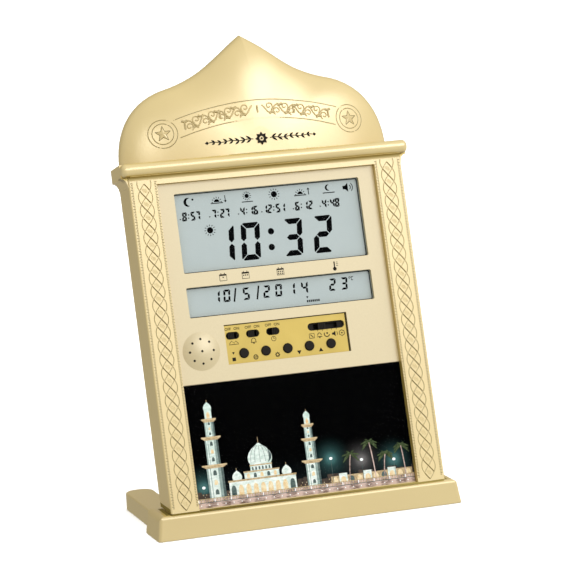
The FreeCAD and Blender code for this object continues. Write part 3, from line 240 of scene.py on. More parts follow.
def cornice_shade_share(finish):
    """How far the painted shade of the cornice's groove covers the gold."""
    foot, top = CORNICE_SHADE_LINE[0][0], CORNICE_SHADE_LINE[-1][0]
    level = finish.share(finish.along_face("Z", ARCH_Z), foot - ARCH_Z, top - ARCH_Z)
    line = finish.ramp(level, *(((z - foot) / (top - foot), (share,) * 3) for z, share in CORNICE_SHADE_LINE))
    return finish.times(line, finish.share(finish.along_face("Y", ARCH_Z), *CORNICE_SHADE_REACH))


def gold_finish(name, shade, light, roughness, metallic, ior=2.3, specular=0.9, shade_cornice=False):
    """Sprayed satin gold over plastic: fine metal flake, soft blotches and a faint orange peel; where asked,
    also painted shade darkening the cornice's groove.
    """
    finish = Finish(name, light, roughness, metallic, ior=ior, specular=specular)
    place = finish.place()
    cloud = finish.noise(place, 14.0, 2.0)
    flake = finish.noise(place, 5200.0, 1.0)
    blend = finish.sum(finish.times(cloud, 0.75), finish.times(flake, 0.25))
    colour = finish.ramp(blend, (0.35, shade), (0.65, light))
    # painted shade: darker, more metallic gold in the cornice's groove
    if shade_cornice:
        share = cornice_shade_share(finish)
        colour = finish.mix(share, colour, CORNICE_SHADE_TINT)
        finish.link(finish.sum(finish.times(share, CORNICE_SHADE_METAL), metallic), finish.shader.inputs["Metallic"])
    finish.paint(colour)
    finish.rough(finish.noise(place, 900.0, 2.0), roughness - 0.05, roughness + 0.07)
    finish.bump(finish.noise(place, 1500.0, 3.0), 0.06, 0.0002)
    return finish.material


def speckled(name, dark, light, roughness, scale, detail=3.0, stops=(0.3, 0.7), rough=None, bump=None,
             **shader):
    """Finish of two close tints in fine specks, which may roughen and raise the surface too."""
    finish = Finish(name, light, roughness, **shader)
    speck = finish.noise(finish.place(), scale, detail)
    finish.paint(finish.ramp(speck, (stops[0], dark), (stops[1], light)))
    if rough:
        finish.rough(speck, *rough)
    if bump:
        finish.bump(speck, *bump)
    return finish.material


def fascia_finish():
    """Fine-grained gold of the inner panel."""
    fascia = Finish("fascia_gold", (0.62, 0.48, 0.17), 0.40, 0.15, ior=2.3, specular=0.9)
    grain = fascia.noise(fascia.place(), 1100.0, 3.0, 0.65)
    cloud = fascia.noise(fascia.place(), 18.0, 2.0)
    colour = fascia.ramp(grain, (0.30, (0.57, 0.43, 0.135)), (0.70, (0.63, 0.485, 0.18)))
    fascia.paint(fascia.mix(fascia.times(cloud, 0.35), colour, (0.59, 0.45, 0.15, 1.0)))
    fascia.rough(grain, 0.34, 0.44)
    fascia.bump(grain, 0.06, 0.0001)
    return fascia.material


def plate_finish():
    """Yellower gold of the printed control plate."""
    plate = Finish("printed_gold_plate", (0.63, 0.45, 0.075), 0.38, 0.35, ior=1.8)
    grain = plate.noise(plate.on_face(), 700.0, 3.0, 0.6)
    cloud = plate.noise(plate.place(), 40.0, 2.0)
    colour = plate.ramp(cloud, (0.30, (0.55, 0.385, 0.052)), (0.70, (0.62, 0.445, 0.075)))
    plate.paint(plate.mix(plate.times(grain, 0.25), colour, (0.70, 0.53, 0.12, 1.0)))
    plate.rough(grain, 0.32, 0.44)
    return plate.material


def cell_finish():
    """Greenish grey of a liquid crystal cell."""
    cell = Finish("liquid_crystal", (0.42, 0.50, 0.49), 0.28, specular=0.35)
    cloud = cell.noise(cell.place(), 30.0, 2.0)
    fine = cell.noise(cell.place(), 3200.0, 1.0)
    blend = cell.sum(cell.times(cloud, 0.6), cell.times(fine, 0.4))
    cell.paint(cell.ramp(blend, (0.3, srgb(192, 205, 204)), (0.7, srgb(200, 212, 210))))
    return cell.material


def clear_finish():
    """Clear plastic of the lenses and the picture's cover."""
    clear = Finish("clear_cover", (0.01, 0.011, 0.011), 0.06, alpha=0.03, specular=0.2)
    clear.rough(clear.noise(clear.place(), 60.0), 0.04, 0.10)
    return clear.material


def striped_rubber():
    """Pink rubber with the dark layers of a contact strip."""
    rubber = Finish("contact_rubber", (0.6, 0.3, 0.35), 0.6)
    stripe = rubber.noise(rubber.on_face(scale=(6000.0, 1.0, 1.0)), 1.0, 1.0)
    rubber.paint(rubber.ramp(stripe, (0.45, (0.70, 0.38, 0.44)), (0.55, (0.12, 0.10, 0.10))))
    return rubber.material


def seam_shade():
    """Painted shade at the casing's foot: dark gold, darkest left of the middle."""
    foot = Finish("foot_shade", (0.20, 0.145, 0.03), 0.7, specular=0.2)
    foot.paint(foot.ramp(foot.share(foot.along_face("X"), -HALF_W, HALF_W), (0.0, (0.24, 0.175, 0.03)),
                         (0.3, (0.16, 0.11, 0.018)), (0.9, (0.42, 0.32, 0.09))))
    return foot.material


MATERIALS = {
    # satin gold, with painted shade in the cornice's groove
    "gold": gold_finish("satin_gold", (0.66, 0.47, 0.10), (0.70, 0.51, 0.12), 0.31, 0.2, shade_cornice=True),
    # painted shade in the valleys of the carved lines, on the stars' edges and on the fringe strokes
    "groove": gold_finish("gold_shaded_in_grooves", (0.11, 0.078, 0.02), (0.17, 0.12, 0.03), 0.6, 0.1, 1.5, 0.15),
    "groove_edge": gold_finish("scroll_gold", (0.50, 0.36, 0.09), (0.60, 0.44, 0.12), 0.40, 0.4),
    "fascia": fascia_finish(),
    "plate": plate_finish(),
    "cell": cell_finish(),
    "clear": clear_finish(),
    "contact_rubber": striped_rubber(),
    "foot_shade": seam_shade(),
    # painted shade of the dark line at the arch's foot
    "arch_shadow": speckled("arch_shadow_line", (0.18, 0.13, 0.026), (0.23, 0.17, 0.04), 0.7, 600.0, specular=0.2),
    # painted shade at the sunk plate's edges
    "edge_shadow": speckled("plate_edge_shadow", (0.035, 0.026, 0.008), (0.07, 0.053, 0.018), 0.7, 900.0, specular=0.2),
    # painted shade just inside the display windows
    "cell_edge_shade": speckled("cell_edge_shade", srgb(48, 50, 42), srgb(66, 68, 58), 0.5, 600.0, specular=0.2),
    # dark print; the same finish is the painted shade of the speaker holes
    "ink": speckled("dark_print_and_hole_shade", (0.008, 0.006, 0.004), (0.024, 0.019, 0.011), 0.6, 900.0, specular=0.15),
    "segment": speckled("display_black", (0.0008, 0.001, 0.0014), (0.0026, 0.003, 0.0036), 0.8, 1800.0,
                        specular=0.0),
    "black": speckled("black_plastic", (0.006, 0.004, 0.002), (0.016, 0.011, 0.006), 0.42, 2600.0, 2.0,
                      rough=(0.34, 0.52), bump=(0.15, 0.0001), specular=0.16),
    "steel": speckled("plated_steel", (0.50, 0.50, 0.48), (0.70, 0.70, 0.68), 0.32, 1400.0, 4.0,
                      rough=(0.25, 0.42), metallic=1.0),
    "rubber": speckled("rubber_pad", (0.018, 0.018, 0.018), (0.045, 0.045, 0.045), 0.85, 1800.0, 4.0,
                       bump=(0.3, 0.0002)),
    "board": speckled("circuit_board", (0.02, 0.12, 0.05), (0.05, 0.22, 0.10), 0.4, 700.0, 2.0, (0.35, 0.65),
                      coat=0.3),
    "white": speckled("white_plastic", (0.74, 0.74, 0.70), (0.82, 0.82, 0.78), 0.5, 300.0),
    "jacket": speckled("cell_jacket", (0.04, 0.05, 0.07), (0.07, 0.08, 0.11), 0.35, 200.0, coat=0.4),
    "paper": speckled("speaker_paper", (0.02, 0.02, 0.02), (0.06, 0.06, 0.055), 0.9, 900.0, 4.0,
                      bump=(0.4, 0.0002)),
}

NODE_FINISHES = {
    "gold": ("base_stand", "base_bottom", "front_casing", "rear_cover", "battery_door"),
    "fascia": ("fascia_panel",),
    "plate": ("control_plate",),
    "clear": ("main_lens", "date_lens"),
    "night_sky": ("picture_card",),
    "cell": ("main_display", "date_display"),
    "black": ("stop_button", "city_button", "set_button", "down_button", "up_button", "left_slide_knob",
              "middle_slide_knob", "right_slide_knob", "selector_knob", "slide_switches", "selector_switch",
              "tact_switches", "power_inlet", "board_components"),
    "steel": ("stand_screws", "bottom_screws", "rear_cover_screws", "board_screws", "battery_contacts",
              "speaker_frame", "speaker_magnet"),
    "rubber": ("rubber_feet",),
    "board": ("main_board", "control_board"),
    "white": ("display_holder", "main_reflector", "date_reflector"),
    "contact_rubber": ("contact_strips",),
    "jacket": ("batteries",),
    "paper": ("speaker_cone",),
}


def dress_nodes():
    for finish, names in NODE_FINISHES.items():
        for name in names:
            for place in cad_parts[name].material_slots:
                place.material = MATERIALS[finish]


# ================================================================ mesh helpers
WELD = 0.0005       # points nearer than this become one


def finish_piece(bm, name, finishes, flat=False):
    """Turns a mesh drawn in face millimetres into a piece that rides on the clock."""
    bmesh.ops.remove_doubles(bm, verts=bm.verts, dist=WELD)
    bm.transform(FACE)
    mesh = bpy.data.meshes.new(name)
    bm.to_mesh(mesh)
    bm.free()
    for face in mesh.polygons:
        face.use_smooth = not flat
    for finish in finishes:
        mesh.materials.append(MATERIALS[finish])
    piece = bpy.data.objects.new(name, mesh)
    bpy.context.collection.objects.link(piece)
    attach(piece, "clock")
    return piece


def sheet_grid(bm, columns, rows, shape, material):
    """Grid whose point at (column, row) is put where shape says; each face takes the material of its lowest
    row.
    """
    made = bmesh.ops.create_grid(bm, x_segments=columns, y_segments=rows, size=1.0)
    verts = made["verts"]
    places = {vert: (round((vert.co.x + 1.0) / 2.0 * columns), round((vert.co.y + 1.0) / 2.0 * rows))
              for vert in verts}
    faces = {face for vert in verts for face in vert.link_faces}
    for face in faces:
        face.material_index = material(min(places[vert][1] for vert in face.verts))
    for vert, (column, row) in places.items():
        vert.co = shape(column, row)
    return list(faces)


def strip(bm, path, profile, closed=False, dark=()):
    """Moulded line along a path of (point, normal); profile is a list of (sideways, lift)."""
    count = len(path)
    rows = []
    for i, (point, normal) in enumerate(path):
        before = path[i - 1][0] if i or closed else point
        after = path[(i + 1) % count][0] if i < count - 1 or closed else point
        side = (after - before).normalized().cross(normal).normalized()
        rows.append([point + side * offset + normal * lift for offset, lift in profile])
    steps = count if closed else count - 1
    faces = sheet_grid(bm, steps, len(profile) - 1, lambda column, row: rows[column % count][row],
                       lambda row: 1 if row in dark else 0)
    middle = faces[len(faces) // 2]
    middle.normal_update()
    nearest = min(path, key=lambda item: (item[0] - middle.calc_center_median()).length)
    if middle.normal.dot(nearest[1]) < 0:
        bmesh.ops.reverse_faces(bm, faces=faces)


# Profile of a carved line; its rows in GROOVE_VALLEY take the dark groove finish, painted shade in the
# valley.
GROOVE = [(-0.52, -0.03), (-0.34, 0.13), (-0.17, 0.02), (0.17, 0.02), (0.34, 0.13), (0.52, -0.03)]
GROOVE_VALLEY = (2,)


def ridge(width, height):
    """Round-topped profile."""
    half = width / 2
    return [(-half, -0.05), (-half * 0.72, height * 0.62), (-half * 0.3, height * 0.95),
            (half * 0.3, height * 0.95), (half * 0.72, height * 0.62), (half, -0.05)]


def flat_shape(bm, outline, y, material=0, lift=None):
    """Thin flat shape facing the front, from an outline of (x, z) points."""
    verts = [bm.verts.new((x, y, z)) for x, z in outline]
    face = bm.faces.new(verts)
    face.material_index = material
    face.normal_update()
    if face.normal.y > 0:
        face.normal_flip()
    if lift:
        for vert in verts:
            vert.co = lift(vert.co.x, vert.co.z)
    return face


def ring_outline(x, z, radius_x, radius_z=None, start=0.0, turn=360.0, count=24):
    """Points of an ellipse or an arc of it, in degrees from the right."""
    radius_z = radius_x if radius_z is None else radius_z
    steps = count if turn >= 360.0 else count + 1
    return [(x + radius_x * math.cos(math.radians(start + turn * i / count)),
             z + radius_z * math.sin(math.radians(start + turn * i / count))) for i in range(steps)]


def band_outline(points, width):
    """The two sides of a stroke of even width along a line of points."""
    left, right = [], []
    for i, (x, z) in enumerate(points):
        x0, z0 = points[max(i - 1, 0)]
        x1, z1 = points[min(i + 1, len(points) - 1)]
        length = math.hypot(x1 - x0, z1 - z0)
        nx, nz = -(z1 - z0) / length * width / 2, (x1 - x0) / length * width / 2
        left.append((x + nx, z + nz))
        right.append((x - nx, z - nz))
    return left, right


def between(bm, first, second, y, closed=False, material=0, lift=None):
    """Fills the space between two rows of points with quads."""
    for i in range(0 if closed else 1, len(first)):
        flat_shape(bm, [first[i - 1], first[i], second[i], second[i - 1]], y, material, lift)


def stroke(bm, points, width, y, material=0, lift=None):
    """Drawn line of even width."""
    left, right = band_outline(points, width)
    between(bm, left, right, y, False, material, lift)


def ring(bm, x, z, radius, width, y, count=24):
    """Drawn circle of even width."""
    outer = ring_outline(x, z, radius + width / 2, count=count)
    between(bm, outer, ring_outline(x, z, radius - width / 2, count=count), y, closed=True)


def rectangle(x0, x1, z0, z1):
    return [(x0, z0), (x1, z0), (x1, z1), (x0, z1)]


class Pen:
    """Draws a small flat mark about its own middle, enlarged, at one depth."""

    def __init__(self, bm, x, z, y, size=1.0):
        self.bm, self.x, self.z, self.y, self.size = bm, x, z, y, size

    def at(self, points):
        return [(self.x + self.size * x, self.z + self.size * z) for x, z in points]

    def patch(self, outline):
        flat_shape(self.bm, self.at(outline), self.y)

    def box(self, x0, x1, z0, z1):
        self.patch(rectangle(x0, x1, z0, z1))

    def disc(self, x, z, radius, count=8):
        self.patch(ring_outline(x, z, radius, count=count))

    def line(self, points, width):
        stroke(self.bm, self.at(points), width * self.size, self.y)

    def arc(self, x, z, radius_x, radius_z, start, turn, count, width):
        self.line(ring_outline(x, z, radius_x, radius_z, start, turn, count), width)

    def circle(self, x, z, radius, width, count):
        ring(self.bm, self.x + self.size * x, self.z + self.size * z, radius * self.size, width * self.size,
             self.y, count)


# ================================================================ the arch's surface
def bezier(points, t):
    """Point of a cubic curve."""
    a, b, c, d = points
    m = 1.0 - t
    return tuple(m ** 3 * a[i] + 3 * m * m * t * b[i] + 3 * m * t * t * c[i] + t ** 3 * d[i] for i in (0, 1))


def arch_outline(t):
    """Right half of the round-topped outline, t from 0 at the spring to 1 at the apex."""
    cos_s, sin_s = math.cos(SHOULDER_SLOPE), math.sin(SHOULDER_SLOPE)
    x, z = SHOULDER
    side = ((ARCH_HALF_W, ARCH_Z), (ARCH_HALF_W, ARCH_Z + SIDE_HANDLE),
            (x + SHOULDER_HANDLE * cos_s, z - SHOULDER_HANDLE * sin_s), SHOULDER)
    flank = (SHOULDER, (x - FLANK_HANDLE * cos_s, z + FLANK_HANDLE * sin_s), (APEX_HANDLE, APEX_Z),
             (0.0, APEX_Z))
    return bezier(side, 2 * t) if t < 0.5 else bezier(flank, 2 * t - 1)


ARCH_STEPS = 120
ARCH_RAYS = []        # angle and length of each, from the middle of the arch's foot to its outline
for step in range(ARCH_STEPS + 1):
    edge_x, edge_z = arch_outline(step / ARCH_STEPS)
    ARCH_RAYS.append((math.atan2(edge_z - ARCH_Z, edge_x), math.hypot(edge_x, edge_z - ARCH_Z)))
PROBE = 0.4           # distance over which the arch's slope is taken
PRINT_LIFT = 0.08


def arch_depth(x, z):
    """Depth of the arch's face behind the front of the pillars."""
    if z <= ARCH_Z:
        reach = abs(x) / ARCH_HALF_W
    else:
        angle = math.atan2(z - ARCH_Z, abs(x))
        reach = 1.0
        for (low, near), (high, far) in zip(ARCH_RAYS, ARCH_RAYS[1:]):
            if angle <= high:
                radius = near + (far - near) * (angle - low) / max(high - low, 1e-9)
                reach = math.hypot(x, z - ARCH_Z) / radius
                break
    return ARCH_RIM_Y - ARCH_BULGE * math.sqrt(max(1.0 - reach * reach, 0.0))


def on_arch(x, z, lift=0.0):
    """Point on the arch's face and the normal there."""
    slope_x = (arch_depth(x + PROBE, z) - arch_depth(x - PROBE, z)) / (2 * PROBE)
    slope_z = (arch_depth(x, z + PROBE) - arch_depth(x, z - PROBE)) / (2 * PROBE)
    normal = Vector((slope_x, -1.0, slope_z)).normalized()
    return Vector((x, arch_depth(x, z), z)) + normal * lift, normal


def print_on_arch(x, z):
    return on_arch(x, z, PRINT_LIFT)[0]


def on_front(y):
    """Maker of points on a flat face at one depth."""
    return lambda x, z: (Vector((x, y, z)), Vector((0.0, -1.0, 0.0)))


# ================================================================ carving on the arch
ROSETTE_X = 70.8
ROSETTE_Z = 269.6
ROSETTE_OUTER = 10.4
ROSETTE_INNER = 7.6
STAR_R = 5.7
STAR_NOTCH = 0.42     # inner corners, as a share of that
STAR_RISE = 0.75
STAR_EDGE = [(-0.22, 0.0), (0.0, 0.03), (0.22, 0.0)]
BANNER_TOP = ((62.0, 278.7), (0.0, 288.0))      # end and crown of its upper line
BANNER_FOOT = ((59.0, 265.4), (0.0, 274.3))
BANNER_MIDDLE = 0.5
SCROLL_WAVES = 5
SCROLL_START = 0.06   # shares of the banner's half width
SCROLL_REACH = 0.80
STEM_SWING = 0.21     # shares of its height
CURL_SWING = 0.13
LEAF_SWING = 0.27
CURL_R = 3.1
STEM = (1.15, 0.55)   # width, height
CURL = (0.95, 0.50)
SCROLL_LEAF = [(-0.2, 0.0), (-0.8, 0.18), (0.0, 0.5), (0.8, 0.18), (0.2, 0.0)]
BAR = [(-0.1, 0.0), (-0.6, 0.2), (0.0, 0.55), (0.6, 0.2), (0.1, 0.0)]
BAR_HALF = 2.6        # half height of the bars between the curls
BAR_SHARES = (-0.9, -0.46, 0.0, 0.46, 0.9)
ORNAMENT_Z = 259.4
ORNAMENT_POINTS = 8
SPRIG_TIP = ((0.0, 0.0), (1.3, 1.3), (3.0, 0.0), (1.3, -1.3))
LEAF_ANGLE = math.radians(34)
LEAF_HALF_W = 0.85
LEAF_OUTLINE = ((0.0, 0.0), (0.25, 0.8), (0.55, 1.0), (1.0, 0.0), (0.55, -0.7), (0.25, -0.6))


def banner_line(ends, share):
    """Height of a banner line at a share of its half width, as a shallow parabola."""
    (side_x, side_z), (_, crown) = ends
    return side_x * share, crown - (crown - side_z) * share * share


def arch_engraving():
    bm = bmesh.new()
    for ends in (BANNER_TOP, BANNER_FOOT):
        points = [banner_line(ends, -1 + i / 30) for i in range(61)]
        strip(bm, [on_arch(x, z) for x, z in points], GROOVE, dark=GROOVE_VALLEY)
    for side in (-1, 1):
        for radius in (ROSETTE_OUTER, ROSETTE_INNER):
            points = ring_outline(side * ROSETTE_X, ROSETTE_Z, radius, count=56)
            strip(bm, [on_arch(x, z) for x, z in points], GROOVE, closed=True, dark=GROOVE_VALLEY)
    finish_piece(bm, "arch_engraving", ("gold", "groove"))


def rosette_stars():
    """Five-pointed stars with a ridge to each point, and a fine dark line round them, painted shade of a
    groove.
    """
    def corner(side, i):
        radius, angle = STAR_R if i % 2 == 0 else STAR_NOTCH * STAR_R, math.radians(90 + 36 * i)
        return side * ROSETTE_X + radius * math.cos(angle), ROSETTE_Z + radius * math.sin(angle)

    bm = bmesh.new()
    for side in (-1, 1):
        centre = bm.verts.new(on_arch(side * ROSETTE_X, ROSETTE_Z, STAR_RISE)[0])
        rim = [bm.verts.new(on_arch(*corner(side, i), -0.02)[0]) for i in range(10)]
        for i in range(10):
            face = bm.faces.new((centre, rim[i], rim[(i + 1) % 10]))
            face.normal_update()
            if face.normal.y > 0:
                face.normal_flip()
    finish_piece(bm, "rosette_stars", ("gold",), flat=True)
    bm = bmesh.new()
    for side in (-1, 1):
        for i in range(10):
            (x0, z0), (x1, z1) = corner(side, i), corner(side, i + 1)
            edge = [on_arch(x0 + (x1 - x0) * t / 4, z0 + (z1 - z0) * t / 4, 0.02) for t in range(5)]
            strip(bm, edge, STAR_EDGE, dark=(0, 1))
    finish_piece(bm, "rosette_star_edges", ("gold", "groove"))


def spiral(x, z, radius, turns, start, hand, count=22):
    """Curl that winds inwards from its outer end."""
    points = []
    for i in range(count + 1):
        share = i / count
        angle = math.radians(start) + hand * share * turns * 2 * math.pi
        reach = radius * (1 - 0.78 * share)
        points.append((x + reach * math.cos(angle), z + reach * math.sin(angle)))
    return points


def in_banner(share, rise):
    """Point of the banner: share across its half width, rise from foot 0 to top 1."""
    x0, z0 = banner_line(BANNER_FOOT, share)
    x1, z1 = banner_line(BANNER_TOP, share)
    return x0 + (x1 - x0) * rise, z0 + (z1 - z0) * rise


def banner_scroll():
    """Wave of stem with curls and leaves, raised on the banner, and five short bars."""
    bm = bmesh.new()

    def raise_line(points, profile):
        strip(bm, [on_arch(x, z, 0.02) for x, z in points], profile)

    for side in (-1, 1):
        stem = []
        for i in range(121):
            share = SCROLL_START + SCROLL_REACH * i / 120
            wave = math.sin(share * SCROLL_WAVES * 2 * math.pi)
            stem.append(in_banner(side * share, BANNER_MIDDLE + STEM_SWING * wave))
        raise_line(stem, ridge(*STEM))
        for i in range(1, 2 * SCROLL_WAVES - 1):
            share, up = (i + 0.5) / (2 * SCROLL_WAVES), 1 if i % 2 else -1
            x, z = in_banner(side * share, BANNER_MIDDLE + CURL_SWING * up)
            raise_line(spiral(x, z, CURL_R, 1.1, 90 - 150 * up * side, up * side), ridge(*CURL))
            x, z = in_banner(side * (share + 0.035), BANNER_MIDDLE - LEAF_SWING * up)
            raise_line([(x + side * (t - 0.5) * 4.4, z + 0.9 * up * math.sin(t * math.pi))
                        for t in (0, 0.25, 0.5, 0.75, 1)], SCROLL_LEAF)
    for share in BAR_SHARES:
        x, z = in_banner(share, BANNER_MIDDLE)
        raise_line([(x, z + BAR_HALF * t) for t in (-1, -1 / 3, 1 / 3, 1)], BAR)
    finish_piece(bm, "banner_scroll", ("groove_edge",))


def arch_ornament():
    """Printed eight-pointed star between two leafy sprigs, below the banner."""
    bm = bmesh.new()

    def printed(outline):
        flat_shape(bm, outline, 0.0, lift=print_on_arch)

    corners = 2 * ORNAMENT_POINTS
    rim = []
    for i in range(corners):
        reach, angle = 3.3 if i % 2 else 4.9, 2 * math.pi * i / corners
        rim.append((reach * math.cos(angle), ORNAMENT_Z + reach * math.sin(angle)))
    between(bm, rim, ring_outline(0.0, ORNAMENT_Z, 1.7, count=corners), 0.0, closed=True, lift=print_on_arch)
    printed(ring_outline(0.0, ORNAMENT_Z, 0.8, count=10))
    for side in (-1, 1):
        stem = [(side * (6.3 + 1.5 * i), ORNAMENT_Z + 0.35 * math.sin(0.7 * i)) for i in range(23)]
        stroke(bm, stem, 0.6, 0.0, lift=print_on_arch)
        for i in range(7):
            foot_x, foot_z = stem[1 + 3 * i]
            length = 4.9 - 0.28 * i
            for up in (-1, 1):
                dx, dz = side * math.cos(LEAF_ANGLE), up * math.sin(LEAF_ANGLE)
                points = [(length * along, LEAF_HALF_W * out) for along, out in LEAF_OUTLINE]
                printed([(foot_x + dx * a - dz * b, foot_z + dz * a + dx * b) for a, b in points])
        end = stem[-1][0]
        printed([(end + side * x, ORNAMENT_Z + z) for x, z in SPRIG_TIP])
    finish_piece(bm, "arch_ornament", ("ink",), flat=True)


# ================================================================ carving on the pillars
BRAID_SWING = 5.15
BRAID_STEP = 0.9
BRAID_INNER = 0.68           # share of the swing inside which a strand is cut wider
BRAID_PITCH = 38.77          # of one strand; the strands cross every quarter of it
BRAID_FOOT = 1.3
BRAID_TOP = 233.94
CARVING_TOP = 236.2
BORDER_OUT = 8.5
BORDER_IN = 7.9
BORDER_FOOT = 3.0
TICK_ROWS = 24
TICK = [(-0.28, -0.02), (-0.08, 0.12), (0.08, 0.12), (0.28, -0.02)]
STRAND_WIDTHS = {"soft": 0.72, "falling_shaded": 1.0, "fine": 0.85}
CARVED_FRONT = -0.01
FRINGE_PITCH = 1.15
FRINGE_LENGTHS = (0.95, 1.5)      # by turns
SHADE_LIFT = 0.15                 # of drawn dark lines before the carved front
FRINGE_LIFT = 0.09


def braid(bm, middle):
    """Four strands that cross on the middle line; cut wider and drawn with a dark line of painted shade where
    they fall to the right, soft where they rise.
    """
    front = on_front(CARVED_FRONT)
    for quarter in range(4):
        outer = quarter % 2 == 0
        low = BRAID_FOOT if outer else BRAID_FOOT + BRAID_PITCH / 8
        high = BRAID_TOP if outer else CARVING_TOP
        count = int((high - low) / BRAID_STEP)
        points = []
        for i in range(count + 1):
            z = low + (high - low) * i / count
            phase = 2 * math.pi * (z - BRAID_FOOT) / BRAID_PITCH + quarter * math.pi / 2
            points.append((middle + BRAID_SWING * math.sin(phase), z))
        runs = []
        for first, second in zip(points, points[1:]):
            inner = abs((first[0] + second[0]) / 2 - middle) < BRAID_INNER * BRAID_SWING
            kind = ("soft" if second[0] > first[0] else "falling_shaded") if inner else "fine"
            if runs and runs[-1][0] == kind:
                runs[-1][1].append(second)
            else:
                runs.append((kind, [first, second]))
        for kind, run in runs:
            profile = [(offset * STRAND_WIDTHS[kind], lift) for offset, lift in GROOVE]
            strip(bm, [front(x, z) for x, z in run], profile, dark=GROOVE_VALLEY)
            # painted shade: a dark line drawn down each strand that falls to the right
            if kind == "falling_shaded":
                stroke(bm, run, 0.62, CARVED_FRONT - SHADE_LIFT, 1)


def pillar_borders(bm, middle, outward):
    """Fine line on each side of the braid, fringed with short cross strokes."""
    front = on_front(CARVED_FRONT)
    for offset in (outward * BORDER_OUT, -outward * BORDER_IN):
        x = middle + offset
        points = [(x, BORDER_FOOT + (CARVING_TOP - BORDER_FOOT) * i / 60) for i in range(61)]
        strip(bm, [front(a, b) for a, b in points], [(side * 0.55, lift * 0.5) for side, lift in GROOVE])
        away = 1 if offset > 0 else -1
        for i in range(int((CARVING_TOP - BORDER_FOOT) / FRINGE_PITCH)):
            z = BORDER_FOOT + (i + 0.5) * FRINGE_PITCH
            tip = x + away * FRINGE_LENGTHS[i % 2]
            stroke(bm, [(x - away * 0.1, z), (tip, z + 0.15)], 0.40, CARVED_FRONT - FRINGE_LIFT, 1)
            stroke(bm, [(x + away * 0.2, z + 0.36), (tip, z + 0.5)], 0.26, CARVED_FRONT - 0.03)


def pillar_ticks(bm, middle):
    """Rows of four short raised ticks in the diamonds of the braid."""
    front = on_front(CARVED_FRONT)
    for i in range(TICK_ROWS):
        z = BRAID_FOOT + (i + 0.5) * BRAID_PITCH / 4
        for j in (-1.5, -0.5, 0.5, 1.5):
            x, half = middle + 0.85 * j, 2.0 - 0.55 * abs(j)
            tick = [(x - 0.5 * half, z + half), (x, z), (x + 0.5 * half, z - half)]
            strip(bm, [front(a, b) for a, b in tick], TICK)


def pillar_carving():
    for side, name in ((-1, "left_pillar_carving"), (1, "right_pillar_carving")):
        bm = bmesh.new()
        middle = side * PILLAR_MIDDLE
        braid(bm, middle)
        pillar_borders(bm, middle, side)
        pillar_ticks(bm, middle)
        finish_piece(bm, name, ("gold", "groove"))


# ================================================================ displays
SEGMENTS = {"0": "abcdef", "1": "bc", "2": "abdeg", "3": "abcdg", "4": "bcfg", "5": "acdfg", "6": "acdefg",
            "7": "abc", "8": "abcdefg", "9": "abcdfg", "C": "adef"}
DIGIT_SLANT = 0.085
CORNER_CUT = 0.2            # of a figure's corners, as a share of its bars' thickness
READOUT_Y = GLASS_FRONT - 0.03


def digit(bm, char, x, z, width, height, thick, gap):
    """Seven-segment figure with mitred bars and cut corners, its middle at (x, z)."""
    half_w, half_h, t, g = width / 2, height / 2, thick, gap
    cut = CORNER_CUT * t
    upright = [(-half_w, half_h - g - 2 * cut), (-half_w + 0.4 * cut, half_h - g - cut),
               (-half_w + cut, half_h - g - cut), (-half_w + t, half_h - t - g), (-half_w + t, t / 2 + g),
               (-half_w + t / 2, g), (-half_w, t / 2 + g)]
    corner = [(-half_w + g + cut, half_h - cut), (-half_w + g + 1.4 * cut, half_h - 0.4 * cut),
              (-half_w + g + 2 * cut, half_h)]
    top = (corner + [(-px, pz) for px, pz in reversed(corner)]
           + [(half_w - t - g, half_h - t), (-half_w + t + g, half_h - t)])
    bars = {
        "a": top,
        "b": [(-px, pz) for px, pz in upright],
        "c": [(-px, -pz) for px, pz in upright],
        "d": [(px, -pz) for px, pz in top],
        "e": [(px, -pz) for px, pz in upright],
        "f": upright,
        "g": [(-half_w + t / 2 + g, 0.0), (-half_w + t + g, t / 2), (half_w - t - g, t / 2),
              (half_w - t / 2 - g, 0.0), (half_w - t - g, -t / 2), (-half_w + t + g, -t / 2)],
    }
    for bar in SEGMENTS[char]:
        flat_shape(bm, [(x + px + DIGIT_SLANT * pz, z + pz) for px, pz in bars[bar]], READOUT_Y)


def colon(bm, x, z, spread, radius):
    pen = Pen(bm, x, z, READOUT_Y)
    for side in (-1, 1):
        pen.disc(DIGIT_SLANT * side * spread, side * spread, radius, 20)


TIMES_Z = 208.7
TIMES = ((-58.6, "8:57"), (-36.6, "7:27"), (-15.0, "4:16"), (5.6, "12:51"), (26.7, "6:12"), (47.3, "4:48"))
SYMBOL_Z = 219.0
MAIN_Z = 186.7
DATE_Z = 149.4
SMALL_FIGURE = (3.5, 6.4, 1.35, 0.07)     # width, height, thickness of the bars, gap between them
MAIN_FIGURE = (14.3, 27.1, 4.0, 0.40)
DATE_FIGURE = (5.1, 8.9, 1.5, 0.16)
UNIT_FIGURE = (1.8, 2.8, 0.5, 0.03)
HOUR_XS = (-8.2, -4.6)        # of the figures of a small time, from its middle
MINUTE_XS = (1.7, 5.4)
MARK_XS = {1: -7.7, 2: -10.6}     # of the mark in front of one or two figures
RAY_START = 1.32              # as a share of the sun's radius
RAY_LENGTH = 1.15
FINE_LINE = 0.5
PLAIN_LINE = 0.6
HORIZON_LINE = 0.65


def small_time(bm, middle, text):
    """Time of one prayer, three or four small figures with a colon and a mark in front."""
    hours, minutes = text.split(":")
    for char, x in zip(hours + minutes, HOUR_XS[-len(hours):] + MINUTE_XS):
        digit(bm, char, middle + x, TIMES_Z, *SMALL_FIGURE)
    colon(bm, middle - 1.5, TIMES_Z, 1.2, 0.5)
    mark = Pen(bm, middle + MARK_XS[len(hours)], TIMES_Z - 1.6, READOUT_Y)
    mark.patch([(-0.55, -0.6), (0.6, 0.0), (-0.55, 0.6)])


